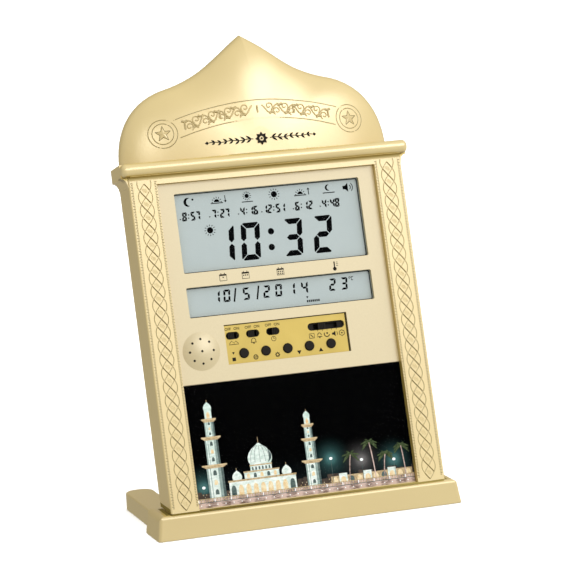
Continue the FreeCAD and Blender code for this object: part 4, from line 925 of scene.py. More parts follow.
def sun(bm, x, z, radius, half=False):
    """Disc, or its upper half, with rays."""
    pen = Pen(bm, x, z, READOUT_Y)
    pen.patch(ring_outline(0.0, 0.0, radius, turn=180 if half else 360, count=18))
    for i in range(7 if half else 12):
        ray_x, ray_z = math.cos(math.radians(30 * i)), math.sin(math.radians(30 * i))
        near, far = RAY_START * radius, RAY_START * radius + RAY_LENGTH
        pen.line([(near * ray_x, near * ray_z), (far * ray_x, far * ray_z)], FINE_LINE)


def moon(bm, x, z, radius):
    """Crescent drawn as the space between two arcs."""
    outer = ring_outline(x, z, radius, start=60, turn=240, count=16)
    inner = ring_outline(x + 0.5 * radius, z, 0.87 * radius, start=81, turn=198, count=16)
    between(bm, outer, inner, READOUT_Y)


def arrow(bm, x, z, height, up):
    """Upright arrow; up is 1, or -1 where it points down."""
    pen = Pen(bm, x, z + up * height / 2, READOUT_Y)
    pen.line([(0.0, -up * height), (0.0, -up * 0.9)], PLAIN_LINE)
    pen.patch([(-1.15, -up * 1.5), (1.15, -up * 1.5), (0.0, 0.0)])


def horizon(bm, x, z, half):
    stroke(bm, [(x - half, z), (x + half, z)], HORIZON_LINE, READOUT_Y)


def prayer_symbols(bm):
    """Night, sunset, afternoon, noon, sunrise and dawn above their times, and a loudspeaker."""
    night, sunset, afternoon, noon, sunrise, dawn = (x for x, _ in TIMES)
    low = SYMBOL_Z - 2.6
    moon(bm, night - 0.8, SYMBOL_Z, 3.2)
    Pen(bm, night, SYMBOL_Z, READOUT_Y).disc(2.9, 1.6, 0.8)
    for middle, up in ((sunset, -1), (sunrise, 1)):
        sun(bm, middle - 1.3, low + 0.8, 2.1, half=True)
        horizon(bm, middle - 1.3, low, 4.6)
        arrow(bm, middle + 5.2, SYMBOL_Z, 5.2, up)
    sun(bm, afternoon, SYMBOL_Z + 0.6, 1.6)
    horizon(bm, afternoon, SYMBOL_Z - 3.6, 4.2)
    sun(bm, noon, SYMBOL_Z, 2.3)
    moon(bm, dawn - 0.2, SYMBOL_Z + 1.1, 2.3)
    horizon(bm, dawn, low, 4.6)
    pen = Pen(bm, 61.6, SYMBOL_Z, READOUT_Y)
    pen.patch([(-3.2, -1.3), (-3.2, 1.3), (-1.5, 1.3), (0.8, 3.3), (0.8, -3.3), (-1.5, -1.3)])
    for radius in (2.0, 3.6):
        pen.arc(0.8, 0.0, radius, radius, -50, 100, 8, PLAIN_LINE)


def main_readout():
    """Six small times with their symbols above the hour in large figures."""
    bm = bmesh.new()
    for middle, text in TIMES:
        small_time(bm, middle, text)
    prayer_symbols(bm)
    for char, x in (("1", -35.9), ("0", -16.4), ("3", 15.8), ("2", 38.7)):
        digit(bm, char, x, MAIN_Z, *MAIN_FIGURE)
    colon(bm, -0.8, MAIN_Z, 5.7, 2.35)
    sun(bm, -45.6, 197.4, 2.3)
    finish_piece(bm, "main_readout", ("segment",), flat=True)


def date_readout():
    """Day, month and year, the temperature and a row of caption ticks."""
    bm = bmesh.new()
    for char, x in (("1", -47.4), ("0", -39.6), ("5", -25.0), ("2", -9.6), ("0", -0.5), ("1", 9.4),
                    ("4", 19.2), ("2", 40.6), ("3", 49.6)):
        digit(bm, char, x, DATE_Z, *DATE_FIGURE)
    for x in (-33.5, -16.2):
        stroke(bm, [(x - 1.1, DATE_Z - 4.9), (x + 1.1, DATE_Z + 4.9)], 1.2, READOUT_Y)
    ring(bm, 54.3, 153.3, 0.6, 0.4, READOUT_Y, count=12)
    digit(bm, "C", 56.3, 152.6, *UNIT_FIGURE)
    for i in range(7):
        x = 19.6 + 1.45 * i
        flat_shape(bm, rectangle(x, x + 1.05, 138.6, 140.2), READOUT_Y)
    flat_shape(bm, [(19.4, 142.9), (21.2, 142.9), (20.3, 141.3)], READOUT_Y)
    finish_piece(bm, "date_readout", ("segment",), flat=True)


WINDOWS = ((167.7, 225.2), (135.7, 157.4))     # foot and top of each
WINDOW_HALF_W = 70.0
EDGE_GAP = 0.05
EDGE_WIDTH = 0.8


def frame_path(low, high, inset, radius):
    """Closed path with round corners inside a window."""
    right, foot, top = WINDOW_HALF_W - inset - radius, low + inset + radius, high - inset - radius
    path = []
    for x, z, start in ((right, top, 0), (-right, top, 90), (-right, foot, 180), (right, foot, 270)):
        path += ring_outline(x, z, radius, start=start, turn=90, count=5)
    return path


def display_edge_shade():
    """Painted shade just inside each display window: a dark band round the cell."""
    bm = bmesh.new()
    for low, high in WINDOWS:
        between(bm, frame_path(low, high, EDGE_GAP, 1.3), frame_path(low, high, EDGE_GAP + EDGE_WIDTH, 1.1),
                READOUT_Y + 0.01, closed=True)
    finish_piece(bm, "display_edge_shade", ("cell_edge_shade",), flat=True)


# ================================================================ printing on the fascia and plate
FASCIA_PRINT = FASCIA - 0.03
LABEL_Z = 162.5


def calendar(bm, x, days):
    """Small calendar sheet with some of its days filled."""
    pen = Pen(bm, x, LABEL_Z, FASCIA_PRINT, 1.3)
    pen.line([(-2.0, -1.9), (2.0, -1.9), (2.0, 1.5), (-2.0, 1.5), (-2.0, -2.0)], 0.32)
    pen.box(-2.1, 2.1, 0.8, 1.7)
    for side in (-1, 1):
        pen.line([(side, 1.5), (side, 2.4)], 0.36)
    for row, column in days:
        x, z = -1.15 + 1.15 * column, -0.05 - 1.1 * row
        pen.box(x - 0.34, x + 0.34, z - 0.34, z + 0.34)


def window_labels():
    """Three calendars and a thermometer, printed between the two windows."""
    bm = bmesh.new()
    days = [(row, column) for row in range(2) for column in range(3)]
    calendar(bm, -41.7, days[1:2])
    calendar(bm, -24.8, days[:3])
    calendar(bm, 1.5, days)
    pen = Pen(bm, 42.8, LABEL_Z, FASCIA_PRINT, 1.35)
    pen.line([(0.0, -1.2), (0.0, 2.3)], 0.7)
    pen.disc(0.0, -1.6, 1.05, 14)
    for i in range(3):
        pen.line([(1.0, 0.1 + 0.9 * i), (2.0, 0.1 + 0.9 * i)], 0.3)
    finish_piece(bm, "window_labels", ("ink",), flat=True)


PLATE_PRINT = PLATE_FRONT - 0.02
SLOT_XS = (-40.1, -24.95, -9.8)
BUTTON_XS = [-0.3 + 16.48 * (i - 2) for i in range(5)]
SELECTOR_XS = [27.07 + 3.53 * i for i in range(-1, 4)]
SWITCH_WORDS_Z = 125.1
SWITCH_MARKS_Z = 114.8
STOP_TICKS_Z = (116.7, 117.7)
SELECTOR_MARKS_Z = 113.9
BUTTON_MARKS_Z = 103.4
LETTER_HEIGHT = 1.95
FONT_SIZE = 1.42         # size of the font for capitals one millimetre high
LETTER_WEIGHT = 0.045


def letters(bm, text, x, z):
    """Plain capital letters as thin print."""
    curve = bpy.data.curves.new("letters", "FONT")
    curve.body = text
    curve.size = LETTER_HEIGHT * FONT_SIZE
    curve.align_x = "CENTER"
    curve.align_y = "CENTER"
    curve.resolution_u = 3
    curve.offset = LETTER_WEIGHT
    holder = bpy.data.objects.new("letters", curve)
    bpy.context.collection.objects.link(holder)
    mesh = bpy.data.meshes.new_from_object(holder)
    mesh.transform(Matrix.Translation((x, PLATE_PRINT, z)) @ Matrix.Rotation(math.pi / 2, 4, "X"))
    bm.from_mesh(mesh)
    bpy.data.objects.remove(holder)
    bpy.data.meshes.remove(mesh)


def switch_marks(bm):
    """Words above the slide switches; clouds, a bell and a clock below them; ticks of the selector."""
    for x in SLOT_XS:
        letters(bm, "OFF", x - 3.0, SWITCH_WORDS_Z)
        letters(bm, "ON", x + 3.5, SWITCH_WORDS_Z)
    clouds, bell, clock = (Pen(bm, x, SWITCH_MARKS_Z, PLATE_PRINT, 1.3) for x in SLOT_XS)
    clouds.line([(-2.4, -0.2), (-1.0, 1.4), (0.4, 0.0), (1.4, 1.2), (2.8, -0.2)], 0.32)
    clouds.line([(-2.6, -0.6), (3.0, -0.6)], 0.32)
    bell.arc(0.0, 0.4, 1.2, 1.3, 0, 180, 10, 0.34)
    bell.line([(-1.7, -0.6), (1.7, -0.6)], 0.34)
    for side in (-1.2, 1.2):
        bell.line([(side, 0.4), (side, -0.6)], 0.34)
    bell.disc(0.0, -1.1, 0.4)
    clock.circle(0.0, 0.2, 1.3, 0.3, 16)
    clock.line([(0.0, 1.2), (0.0, 0.2), (0.8, 0.2)], 0.28)
    for x in SELECTOR_XS:
        stroke(bm, [(x + 0.4, z) for z in STOP_TICKS_Z], 0.34, PLATE_PRINT)


def selector_marks(bm):
    """Five marks under the selector: sheet, bell, moon, horn and nut."""
    sheet, bell, crescent, horn, nut = (Pen(bm, x, SELECTOR_MARKS_Z, PLATE_PRINT, 1.25)
                                        for x in (19.0, 24.8, 30.5, 36.4, 41.9))
    sheet.line([(-1.5, -1.3), (1.5, -1.3), (1.5, 1.3), (-1.5, 1.3), (-1.5, -1.4)], 0.36)
    sheet.line([(-0.8, 0.8), (0.8, -0.8)], 0.5)
    bell.arc(0.0, -0.2, 1.1, 1.5, 0, 180, 10, 0.4)
    bell.line([(-1.6, -0.9), (1.6, -0.9)], 0.4)
    bell.disc(0.0, -1.4, 0.4)
    crescent.arc(0.0, 0.3, 1.6, 1.6, 150, 195, 14, 0.5)
    crescent.disc(0.2, 0.7, 0.55, 10)
    horn.patch([(-1.6, -0.6), (-1.6, 0.6), (-0.7, 0.6), (0.5, 1.6), (0.5, -1.6), (-0.7, -0.6)])
    horn.arc(0.4, 0.0, 1.3, 1.3, -45, 90, 6, 0.36)
    corners = ring_outline(0.0, 0.0, 1.7, start=30, count=6)
    nut.line(corners + corners[:1], 0.4)
    nut.disc(0.0, 0.0, 0.5)


def button_marks(bm):
    """Marks beside the buttons: square, globe, toothed wheel and two arrowheads."""
    stop, globe, wheel, down, up = (Pen(bm, x - left, BUTTON_MARKS_Z, PLATE_PRINT, 1.3)
                                    for x, left in zip(BUTTON_XS, (7.9, 8.1, 8.2, 8.2, 8.2)))
    stop.box(-1.0, 1.0, -1.0, 1.0)
    stop.patch([(-0.8, 4.0), (0.0, 2.6), (0.8, 4.0)])
    globe.circle(0.0, 0.0, 1.25, 0.36, 18)
    globe.line([(-1.2, 0.0), (1.2, 0.0)], 0.3)
    globe.line(ring_outline(0.0, 0.0, 0.6, 1.2, count=12) + [(0.6, 0.0)], 0.3)
    wheel.circle(0.0, 0.0, 0.85, 0.5, 16)
    for near, far in zip(ring_outline(0.0, 0.0, 1.0, count=8), ring_outline(0.0, 0.0, 1.5, count=8)):
        wheel.line([near, far], 0.45)
    down.patch([(-1.3, 0.9), (1.3, 0.9), (0.0, -1.2)])
    up.patch([(-1.3, -0.9), (1.3, -0.9), (0.0, 1.2)])


def plate_printing():
    bm = bmesh.new()
    switch_marks(bm)
    selector_marks(bm)
    button_marks(bm)
    finish_piece(bm, "plate_printing", ("ink",), flat=True)


PLATE_EDGES = (-46.0, 46.8, 99.95, 128.45)      # left, right, foot and top of its opening
# Painted shade round the sunk plate: gap to the opening's edge, and widths at its right, top and left.
SHADOW_GAP = 0.1
SHADOW_RIGHT = 1.25
SHADOW_TOP = 0.7
SHADOW_LEFT = 0.35
DOME_AXIS = (-64.95, 111.5)
DOME_R = 13.8
DOME_RISE = 2.6
HOLE_R = 0.88
HOLE_CIRCLE = 8.8       # radius of the ring of eight holes round the middle one


def plate_edge_shadow():
    """Painted shade between the sunk plate and the fascia, widest at its right and top edges."""
    bm = bmesh.new()
    x0, x1, z0, z1 = PLATE_EDGES
    for edges in ((x1 - SHADOW_RIGHT, x1 - SHADOW_GAP, z0 + SHADOW_GAP, z1 - SHADOW_GAP),
                  (x0 + SHADOW_GAP, x1 - SHADOW_RIGHT, z1 - SHADOW_TOP, z1 - SHADOW_GAP),
                  (x0 + SHADOW_GAP, x0 + SHADOW_LEFT, z0 + SHADOW_GAP, z1 - SHADOW_TOP)):
        flat_shape(bm, rectangle(*edges), PLATE_FRONT - 0.04)
    finish_piece(bm, "plate_edge_shadow", ("edge_shadow",), flat=True)


def on_dome(x, z):
    """Point a hair in front of the speaker dome."""
    ball = (DOME_R ** 2 + DOME_RISE ** 2) / (2 * DOME_RISE)
    reach = (x - DOME_AXIS[0]) ** 2 + (z - DOME_AXIS[1]) ** 2
    return Vector((x, FASCIA - DOME_RISE + ball - math.sqrt(ball ** 2 - reach) - 0.03, z))


def speaker_hole_shade():
    """Painted shade of the nine sound holes: dark discs laid a hair in front of the speaker dome over each
    hole.
    """
    bm = bmesh.new()
    for i in range(9):
        reach, angle = (HOLE_CIRCLE if i else 0.0), math.radians(45 * i)
        x, z = DOME_AXIS[0] + reach * math.sin(angle), DOME_AXIS[1] + reach * math.cos(angle)
        flat_shape(bm, ring_outline(x, z, HOLE_R, count=14), 0.0, lift=on_dome)
    finish_piece(bm, "speaker_hole_shade", ("ink",), flat=True)


# ================================================================ painted shade at the casing's foot and the arch's foot
GAP_SHADE_Y = 0.43                 # of the sheets of painted shade, level behind the pillars' front
GAP_SHADE_FOOT = -1.44
PILLAR_SHADE_TOP = -0.05
PICTURE_SHADE_TOP = -0.93
PICTURE_LINE_Y = -0.04
PICTURE_LINE = (-0.88, 0.45)
WALL_SHADE = (1.3, 25.6)       # its front and rear end
WALL_SHADE_TOP = 2.9
WALL_GAP = 0.03
STAND_SHADE = (2.1, 24.0)     # shaded strip of the stand's top beside the casing, front and rear
STAND_SHADE_REACH = 3.0
STAND_SHADE_Z = -0.97
ARCH_SHADOW_HEIGHT = 0.65


def from_foot(x, y, z):
    """Face-frame point, from one measured level and upright at the foot of the pillars."""
    cos_l, sin_l = math.cos(LEAN), math.sin(LEAN)
    return (x, y * cos_l - z * sin_l, y * sin_l + z * cos_l)


def stand_joint_shade():
    """Dark joint of casing and stand, widened by painted shade and painted reflection below the picture,
    along the side walls and on the stand's top.
    """
    bm = bmesh.new()

    def sheet(corners):
        face = bm.faces.new([bm.verts.new(corner) for corner in corners])
        face.normal_update()
        across = abs(face.normal.x) > 0.5
        outward = Vector((face.calc_center_median().x, 0, 0)) if across else Vector((0, -1, 0.5))
        if face.normal.dot(outward) < 0:
            face.normal_flip()

    end = HALF_W - 0.8
    # painted shade: dark sheets in the gap under the pillars and the picture
    for x0, x1, top in ((-end, -INNER_X, PILLAR_SHADE_TOP), (-INNER_X, INNER_X, PICTURE_SHADE_TOP),
                        (INNER_X, end, PILLAR_SHADE_TOP)):
        sheet([from_foot(x, GAP_SHADE_Y, z) for x, z in rectangle(x0, x1, GAP_SHADE_FOOT, top)])
    # painted reflection of the dark picture on the lip below it
    sheet([(x, PICTURE_LINE_Y, z) for x, z in rectangle(-INNER_X, INNER_X, *PICTURE_LINE)])
    # painted shade up the foot of each side wall and on the stand's top beside it
    for side in (-1, 1):
        x = side * (HALF_W + WALL_GAP)
        low = [(x, y, y * math.tan(LEAN) + 0.05) for y in WALL_SHADE]
        high = [(x, y, (WALL_SHADE_TOP + y * math.sin(LEAN)) / math.cos(LEAN)) for y in reversed(WALL_SHADE)]
        sheet(low + high)
        sheet([from_foot(side * across, y, STAND_SHADE_Z)
               for across, y in rectangle(HALF_W - 0.3, HALF_W + STAND_SHADE_REACH, *STAND_SHADE)])
    finish_piece(bm, "stand_joint_shade", ("foot_shade",), flat=True)


def arch_shadow_line():
    """Painted shade: a dark line where the arch rises from the cornice."""
    bm = bmesh.new()
    half, steps = ARCH_HALF_W - 1.0, 80
    xs = [half * math.sin(math.pi / 2 * (2.0 * i / steps - 1.0)) for i in range(steps + 1)]
    between(bm, [(x, ARCH_Z - ARCH_SHADOW_HEIGHT) for x in xs], [(x, ARCH_Z) for x in xs], 0.0,
            lift=lambda x, z: on_arch(x, z, 0.05)[0])
    finish_piece(bm, "arch_shadow_line", ("arch_shadow",))


# ================================================================ picture behind the clear cover
PICTURE_HALF_W = 82.5
PICTURE_FOOT = 1.1
PICTURE_TOP = 88.5
PICTURE_LAYER = 0.05       # step between two printed layers
PRINTED_LAYERS = 11
COVER_GAP = 0.16
GROUND = 7.0
LAMPS = ((-76.0, 15.5, False), (20.5, 25.0, False), (43.5, 21.5, True), (68.0, 19.0, False))    # x, z, warm
HALOS = ((21.0, 3.4, 0.30), (8.5, 2.2, 0.9))        # reach, fall, power
WARM_LAMP = (0.95, 0.90, 0.88)
COOL_LAMP = (0.36, 0.98, 0.95)
PICTURE_FINISHES = ("lit_stone", "shaded_stone", "gilt_stone", "warm_glow", "terrace_stone", "lamp_white",
                    "far_houses", "palm_green", "dusky_stone")
STONE, SHADE, GILT, GLOW, TERRACE, LAMP, HOUSES, PALM, DUSK = range(len(PICTURE_FINISHES))


def sky_finish():
    """Black sky with a low haze and the halos of the lamps."""
    sky = Finish("night_sky", (0.0, 0.0, 0.0), 0.7, specular=0.0)
    haze = sky.sum(sky.share(sky.along_face("Z"), 4.0, 34.0, 1.0, 0.0), 2.0, "POWER")
    cloud = sky.noise(sky.on_face(scale=(1.0, 1.0, 3.0)), 26.0, 4.0, 0.6)
    amount = sky.times(haze, sky.times(cloud, 0.9))
    colour = sky.mix(amount, (0.0006, 0.0006, 0.0007, 1.0), (0.030, 0.045, 0.050, 1.0))
    for x, z, warm in LAMPS:
        for reach, fall, power in HALOS:
            halo = sky.node("ShaderNodeTexGradient", gradient_type="SPHERICAL")
            sky.link(sky.on_face(x, z, (1.0 / (reach * MM),) * 3), halo.inputs["Vector"])
            glow = [power * share for share in (WARM_LAMP if warm else COOL_LAMP)] + [1.0]
            colour = sky.mix(sky.sum(halo.outputs["Fac"], fall, "POWER"), colour, glow, "ADD")
    sky.paint(colour)
    return sky.material


def print_ink(name, dark, light, scale, stretch=UNSCALED, fade=None, lamplit=False, painted_glow=0.0):
    """Matt printing ink of two tints; light of floodlights and lamps is printed into it, and where asked the
    ink also glows a little, painted light.
    """
    ink = Finish(name, light, 0.6, specular=0.1)
    grain = ink.noise(ink.on_face(scale=stretch), scale, 3.0, 0.6)
    if lamplit:
        lamps = ink.node("ShaderNodeTexWave", Scale=26.2)
        ink.link(ink.on_face(), lamps.inputs["Vector"])
        grain = ink.sum(grain, ink.times(ink.sum(lamps.outputs["Fac"], 3.0, "POWER"), 0.35))
    colour = ink.ramp(grain, (0.32, dark), (0.68, light))
    if fade:
        low, high, shade = fade
        colour = ink.mix(ink.share(ink.along_face("Z"), low, high), colour, shade, "MULTIPLY")
    ink.paint(colour)
    # painted light: the printed ink glows though the card is no lamp
    if painted_glow:
        ink.link(colour, ink.shader.inputs["Emission Color"])
        ink.set("Emission Strength", painted_glow)
    MATERIALS[name] = ink.material


def picture_materials():
    MATERIALS["night_sky"] = sky_finish()
    # lit stone, warm glow and lamp white also glow a little: painted light
    print_ink("lit_stone", (0.58, 0.70, 0.62), (0.96, 1.0, 0.94), 300.0, (1.0, 1.0, 2.0),
              (10.0, 75.0, (0.80, 0.90, 0.88, 1.0)), painted_glow=0.22)
    print_ink("dusky_stone", (0.26, 0.36, 0.33), (0.46, 0.58, 0.53), 300.0, (1.0, 1.0, 2.0))
    print_ink("shaded_stone", (0.06, 0.095, 0.09), (0.16, 0.22, 0.20), 260.0, (1.0, 1.0, 3.0))
    print_ink("gilt_stone", (0.46, 0.32, 0.16), (0.84, 0.66, 0.40), 700.0)
    print_ink("warm_glow", (0.85, 0.58, 0.26), (1.0, 0.90, 0.62), 400.0, painted_glow=0.12)
    print_ink("terrace_stone", (0.20, 0.125, 0.095), (0.86, 0.66, 0.58), 320.0, (1.0, 1.0, 4.0), lamplit=True)
    print_ink("lamp_white", (0.94, 1.0, 0.98), (1.0, 1.0, 1.0), 200.0, painted_glow=0.4)
    print_ink("far_houses", (0.030, 0.024, 0.020), (0.13, 0.095, 0.070), 180.0, (1.0, 1.0, 0.4))
    print_ink("palm_green", (0.025, 0.045, 0.018), (0.13, 0.18, 0.07), 900.0)


class Picture:
    """Printed shapes, each later layer a hair in front of the one before."""

    def __init__(self):
        self.bm = bmesh.new()
        self.layer = 1

    @property
    def y(self):
        return CARD_FRONT - PICTURE_LAYER * self.layer

    def shape(self, outline, ink):
        flat_shape(self.bm, outline, self.y, ink)

    def block(self, x0, x1, z0, z1, ink):
        self.shape(rectangle(x0, x1, z0, z1), ink)

    def arch(self, x, z, width, height, ink):
        """Pointed opening that stands on z."""
        half = width / 2
        rise = min(height * 0.55, width)
        spring = z + height - rise
        curve = [(half * math.cos(t * math.pi / 2) ** 0.8, spring + rise * math.sin(t * math.pi / 2) ** 1.15)
                 for t in (0.0, 0.2, 0.4, 0.6, 0.8, 1.0)]
        right = [(x + half, z)] + [(x + dx, dz) for dx, dz in curve]
        left = [(2 * x - px, pz) for px, pz in reversed(right[:-1])]
        self.shape(right + left, ink)

    def dome(self, x, z, radius, height, ink):
        """Onion dome whose foot is narrower than its belly, with a spike."""
        side = [(0.86, 0.0), (0.99, 0.18), (1.0, 0.36), (0.88, 0.56), (0.60, 0.76), (0.26, 0.90), (0.06, 1.0)]
        right = [(x + radius * a, z + height * b) for a, b in side]
        left = [(2 * x - px, pz) for px, pz in reversed(right)]
        self.shape(right + left, ink)
        self.block(x - 0.16, x + 0.16, z + height * 0.98, z + height * 1.28, GILT)


def picture_tower(art, x, top, width):
    """Square tower of three steps with gilt galleries, an open lantern storey and a cupola."""
    foot = GROUND - 1.0
    high = top - foot
    for low, end, share in ((0.0, 0.34, 1.0), (0.34, 0.62, 0.78), (0.62, 0.80, 0.58)):
        half, base, gallery = width * share / 2, foot + high * low, foot + high * end
        art.layer = 3
        art.block(x - half, x + half, base, gallery, STONE)
        art.layer = 4
        for left, right, ink in ((0.70, 1.0, SHADE), (0.36, 0.70, DUSK), (-1.0, -0.80, DUSK)):
            art.block(x + half * left, x + half * right, base, gallery, ink)
        art.block(x - half * 0.58, x - half * 0.50, base + 0.6, gallery - 0.8, DUSK)
        for i in range(3):
            art.arch(x - half * 0.05, base + (gallery - base) * (0.16 + 0.28 * i), half * 0.42,
                     (gallery - base) * 0.15, GLOW if i % 2 else SHADE)
        art.layer = 5
        ledge = [(-1.0, -1.6), (1.0, -1.6), (1.5, 0.0), (1.5, 0.9), (-1.5, 0.9), (-1.5, 0.0)]
        art.shape([(x + half * a, gallery + b) for a, b in ledge], GILT)
        art.layer = 6
        art.block(x - half * 1.45, x + half * 1.45, gallery + 0.15, gallery + 0.5, GLOW)
    half, lantern = width * 0.42 / 2, foot + high * 0.80 + 0.9
    art.layer = 3
    art.block(x - half, x + half, lantern, lantern + high * 0.08, STONE)
    art.layer = 4
    art.arch(x, lantern + 0.2, half * 0.9, high * 0.065, GLOW)
    art.dome(x, lantern + high * 0.08, half * 1.15, high * 0.085, STONE)


def picture_hall(art, x):
    """Domed hall with a pointed arcade and two side cupolas."""
    art.layer = 2
    for half, low, high in ((25.0, 0.0, 10.5), (13.0, 10.5, 16.0), (8.0, 16.0, 20.0)):
        art.block(x - half, x + half, GROUND + low, GROUND + high, STONE)
    art.layer = 3
    for half, low, high in ((25.5, 9.9, 11.2), (13.5, 15.4, 16.4), (8.4, 19.6, 20.5)):
        art.block(x - half, x + half, GROUND + low, GROUND + high, GILT)
    art.dome(x, GROUND + 20.5, 9.0, 15.0, STONE)
    for side in (-1, 1):
        art.dome(x + side * 18.5, GROUND + 11.2, 3.6, 6.6, STONE)
    art.layer = 4
    for i in range(9):
        art.arch(x - 22.0 + 5.5 * i, GROUND, 3.7, 7.6, GLOW if i not in (0, 8) else SHADE)
    for i in range(5):
        art.arch(x - 10.0 + 5.0 * i, GROUND + 11.6, 2.2, 3.2, SHADE if i % 2 else GLOW)
    for i in range(6):
        art.arch(x - 6.25 + 2.5 * i, GROUND + 16.7, 1.2, 2.4, SHADE)
    for i in range(5):
        angle = math.radians(-52 + 26 * i)
        rib = [(x + 9.0 * math.sin(angle) * math.sin(t) ** 0.7, GROUND + 20.8 + 13.0 * math.cos(t) ** 0.9)
               for t in (0.15, 0.5, 0.85, 1.2, 1.5)]
        stroke(art.bm, rib, 0.22, art.y, SHADE)
    art.shape([(x + 5.6, GROUND + 21.0), (x + 8.4, GROUND + 23.5), (x + 8.7, GROUND + 26.5),
               (x + 6.4, GROUND + 31.0), (x + 6.9, GROUND + 26.5), (x + 6.6, GROUND + 23.5)], SHADE)


def picture_palm(art, x, height, lean):
    """Palm with a bent trunk and drooping fronds."""
    crown_x, crown_z = x + lean, GROUND + height
    art.layer = 7
    trunk = [(x, GROUND - 1.0), (x + lean * 0.25, GROUND + height * 0.4),
             (x + lean * 0.6, GROUND + height * 0.75), (crown_x, crown_z)]
    stroke(art.bm, trunk, 0.75, art.y, TERRACE)
    for i in range(11):
        angle = math.radians(-28 + 23.6 * i)
        reach = 6.2 + 1.1 * math.sin(3.1 * i + x)
        across, up = reach * math.cos(angle), reach * math.sin(angle) * 0.8
        spine = [(crown_x + across * t, crown_z + up * t - 2.7 * t * t) for t in (0.0, 0.3, 0.6, 0.85, 1.0)]
        left, right = band_outline(spine, 1.0)
        art.shape([spine[0], *left[1:4], spine[-1], *right[3:0:-1]], PALM)


def picture_houses(art):
    """Row of dark houses on the skyline, with a few lit windows."""
    x, index = -PICTURE_HALF_W + 0.4, 0
    while x < PICTURE_HALF_W - 0.6:
        end = min(x + 4.2 + 2.6 * abs(math.sin(1.7 * index)), PICTURE_HALF_W - 0.4)
        art.layer = 1
        art.block(x, end, GROUND - 1.0, GROUND + 3.0 + 4.4 * abs(math.sin(2.3 * index + 0.6)), HOUSES)
        art.layer = 2
        for row in range(2):
            for column in range(3):
                left, low = x + 0.8 + 1.2 * column, GROUND + 1.4 + 1.7 * row
                if math.sin(5.1 * index + 2.2 * row + 3.7 * column) > 0.25 and left + 0.4 < end - 0.6:
                    art.block(left, left + 0.4, low, low + 0.6, GLOW)
        x, index = end, index + 1


def picture_terrace(art):
    """Paved terrace with posts, two rails and a row of small lights, and the lamp posts."""
    def band(low, high, ink):
        art.block(-PICTURE_HALF_W + 0.3, PICTURE_HALF_W - 0.3, low, high, ink)

    art.layer = 8
    band(PICTURE_FOOT + 0.1, GROUND, TERRACE)
    art.layer = 9
    for i in range(82):
        x = -PICTURE_HALF_W + 1.3 + 2.0 * i
        art.block(x, x + 0.55, GROUND - 1.9, GROUND + 0.4, GILT if i % 6 else LAMP)
    band(GROUND + 0.2, GROUND + 0.7, GILT)
    band(GROUND - 2.3, GROUND - 1.9, SHADE)
    for x, z, _ in LAMPS:
        art.block(x - 0.14, x + 0.14, GROUND, z, SHADE)
    art.layer = 10
    for x, z, _ in LAMPS:
        art.shape(ring_outline(x, z, 1.25, 1.0, count=18), LAMP)
    for i in range(27):
        art.shape(ring_outline(-PICTURE_HALF_W + 3.2 + 6.0 * i, PICTURE_FOOT + 1.9, 0.42, count=10), LAMP)


def night_picture():
    """Lit hall, towers and palms on a waterside terrace under a black sky."""
    art = Picture()
    picture_houses(art)
    picture_tower(art, -66.0, 77.0, 12.4)
    picture_tower(art, 6.5, 62.0, 10.4)
    picture_hall(art, -32.0)
    for i in range(10):
        left, tall = 19.0 + 6.2 * i, i % 3 == 1
        art.layer = 3
        art.block(left, left + 6.2, GROUND, GROUND + 5.0 + 1.6 * tall, STONE if tall else GILT)
        art.layer = 4
        art.arch(left + 3.1, GROUND, 4.0, 4.2, SHADE if i % 4 == 2 else GLOW)
    for x, height, lean in ((33.0, 19.0, 2.6), (53.0, 26.0, -2.2), (59.5, 16.5, 2.4), (76.0, 21.0, -1.4)):
        picture_palm(art, x, height, lean)
    picture_terrace(art)
    finish_piece(art.bm, "night_picture", PICTURE_FINISHES, flat=True)


def picture_sheet():
    """Clear cover of the picture, thinned from behind to make room for the printed layers."""
    bm = bmesh.new()
    made = bmesh.ops.create_cube(bm, size=1.0)
    near, far = FASCIA + 0.02, CARD_FRONT - PICTURE_LAYER * PRINTED_LAYERS
    foot, top = PICTURE_FOOT + COVER_GAP, PICTURE_TOP - COVER_GAP
    for vert in made["verts"]:
        x, y, z = vert.co
        vert.co = (x * 2 * (PICTURE_HALF_W - COVER_GAP), near + (y + 0.5) * (far - near),
                   foot + (z + 0.5) * (top - foot))
    bmesh.ops.bevel(bm, geom=bm.edges[:], offset=0.15, segments=2, affect="EDGES", profile=0.5, material=-1)
    sheet = finish_piece(bm, "picture_window", ("clear",), flat=True)
    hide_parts("picture_cover")


# ================================================================ camera, light and floor
def place_camera():
    data = bpy.data.cameras.new("camera")
    data.lens = CAMERA_LENS
    data.sensor_width = CAMERA_SENSOR
    data.clip_end = 50.0
    camera = bpy.data.objects.new("camera", data)
    camera.location = CAMERA_PLACE
    camera.rotation_euler = [math.radians(value) for value in CAMERA_TURN]
    bpy.context.collection.objects.link(camera)
    bpy.context.scene.camera = camera


def lay_floor():
    bm = bmesh.new()
    bmesh.ops.create_grid(bm, x_segments=1, y_segments=1, size=FLOOR_HALF)
    mesh = bpy.data.meshes.new("floor")
    bm.to_mesh(mesh)
    bm.free()
    mesh.materials.append(Finish("pale_floor", (0.93, 0.93, 0.93), 0.85, specular=0.1).material)
    floor = bpy.data.objects.new("floor", mesh)
    floor.location = (0.0, 0.0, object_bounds()[0][2])
    bpy.context.collection.objects.link(floor)
    floor.visible_diffuse = False
    floor.visible_glossy = False
    floor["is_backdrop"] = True
    return floor


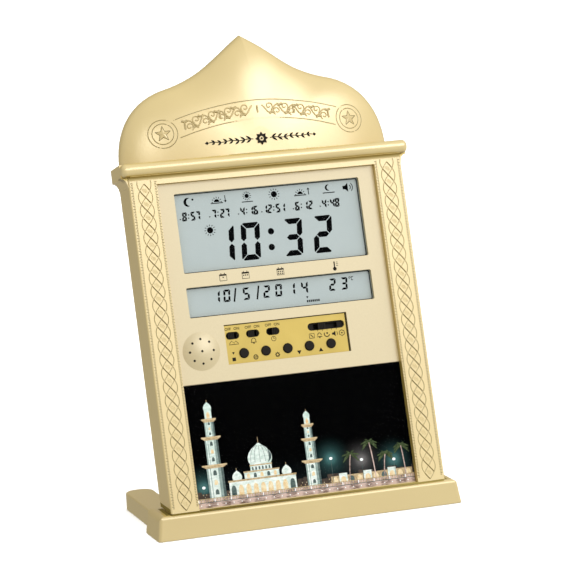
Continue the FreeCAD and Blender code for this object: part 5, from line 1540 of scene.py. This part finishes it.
def light_world():
    """Grey surroundings whose light is the product of three ramps, by height, side and depth."""
    world = bpy.data.worlds.new("studio")
    world.use_nodes = True
    tree = world.node_tree
    where = tree.nodes.new("ShaderNodeTexCoord")
    split = tree.nodes.new("ShaderNodeSeparateXYZ")
    tree.links.new(where.outputs["Generated"], split.inputs[0])
    light = None
    for axis, stops in (("Z", SKY), ("X", SIDES), ("Y", DEPTHS)):
        level = tree.nodes.new("ShaderNodeMapRange")
        level.inputs["From Min"].default_value = -1.0
        ramp = tree.nodes.new("ShaderNodeValToRGB")
        while len(ramp.color_ramp.elements) < len(stops):
            ramp.color_ramp.elements.new(0.5)
        for element, (place, grey) in zip(ramp.color_ramp.elements, stops):
            element.position = (place + 1.0) / 2.0
            element.color = (grey, grey, grey, 1.0)
        tree.links.new(split.outputs[axis], level.inputs["Value"])
        tree.links.new(level.outputs["Result"], ramp.inputs["Fac"])
        if light:
            both = tree.nodes.new("ShaderNodeVectorMath")
            both.operation = "MULTIPLY"
            tree.links.new(light, both.inputs[0])
            tree.links.new(ramp.outputs["Color"], both.inputs[1])
            light = both.outputs[0]
        else:
            light = ramp.outputs["Color"]
    tree.links.new(light, tree.nodes["Background"].inputs["Color"])
    tree.nodes["Background"].inputs["Strength"].default_value = 1.0
    bpy.context.scene.world = world
    bpy.context.scene.view_settings.view_transform = "Standard"


def hang_lamp(name, kind, power):
    light = bpy.data.lights.new(name, kind)
    light.energy = power
    lamp = bpy.data.objects.new(name, light)
    bpy.context.collection.objects.link(lamp)
    return lamp


def softbox(name, place, target, size, power):
    lamp = hang_lamp(name, "AREA", power)
    lamp.data.shape = "RECTANGLE"
    lamp.data.size, lamp.data.size_y = size
    lamp.location = place
    lamp.rotation_euler = (Vector(target) - Vector(place)).to_track_quat("-Z", "Y").to_euler()
    return lamp


def light_only(lamps, name, thing):
    """Lets lamps fall on one object alone."""
    receivers = bpy.data.collections.new(name)
    receivers.objects.link(thing)
    for lamp in lamps:
        lamp.light_linking.receiver_collection = receivers


def studio():
    place_camera()
    floor = lay_floor()
    light_world()
    softbox(*KEY_LIGHT)
    light_only([softbox(*light) for light in CASING_LIGHTS], "casing_only", bpy.data.objects["front_casing"])
    above = hang_lamp("floor_light", "SUN", FLOOR_LIGHT_STRENGTH)
    above.data.angle = FLOOR_LIGHT_ANGLE
    light_only([above], "floor_only", floor)


def main():
    picture_materials()
    dress_nodes()
    for make in (arch_engraving, rosette_stars, banner_scroll, arch_ornament, pillar_carving, main_readout,
                 date_readout, display_edge_shade, window_labels, plate_printing, plate_edge_shadow, speaker_hole_shade,
                 stand_joint_shade, arch_shadow_line, night_picture, picture_sheet, studio):
        make()


main()
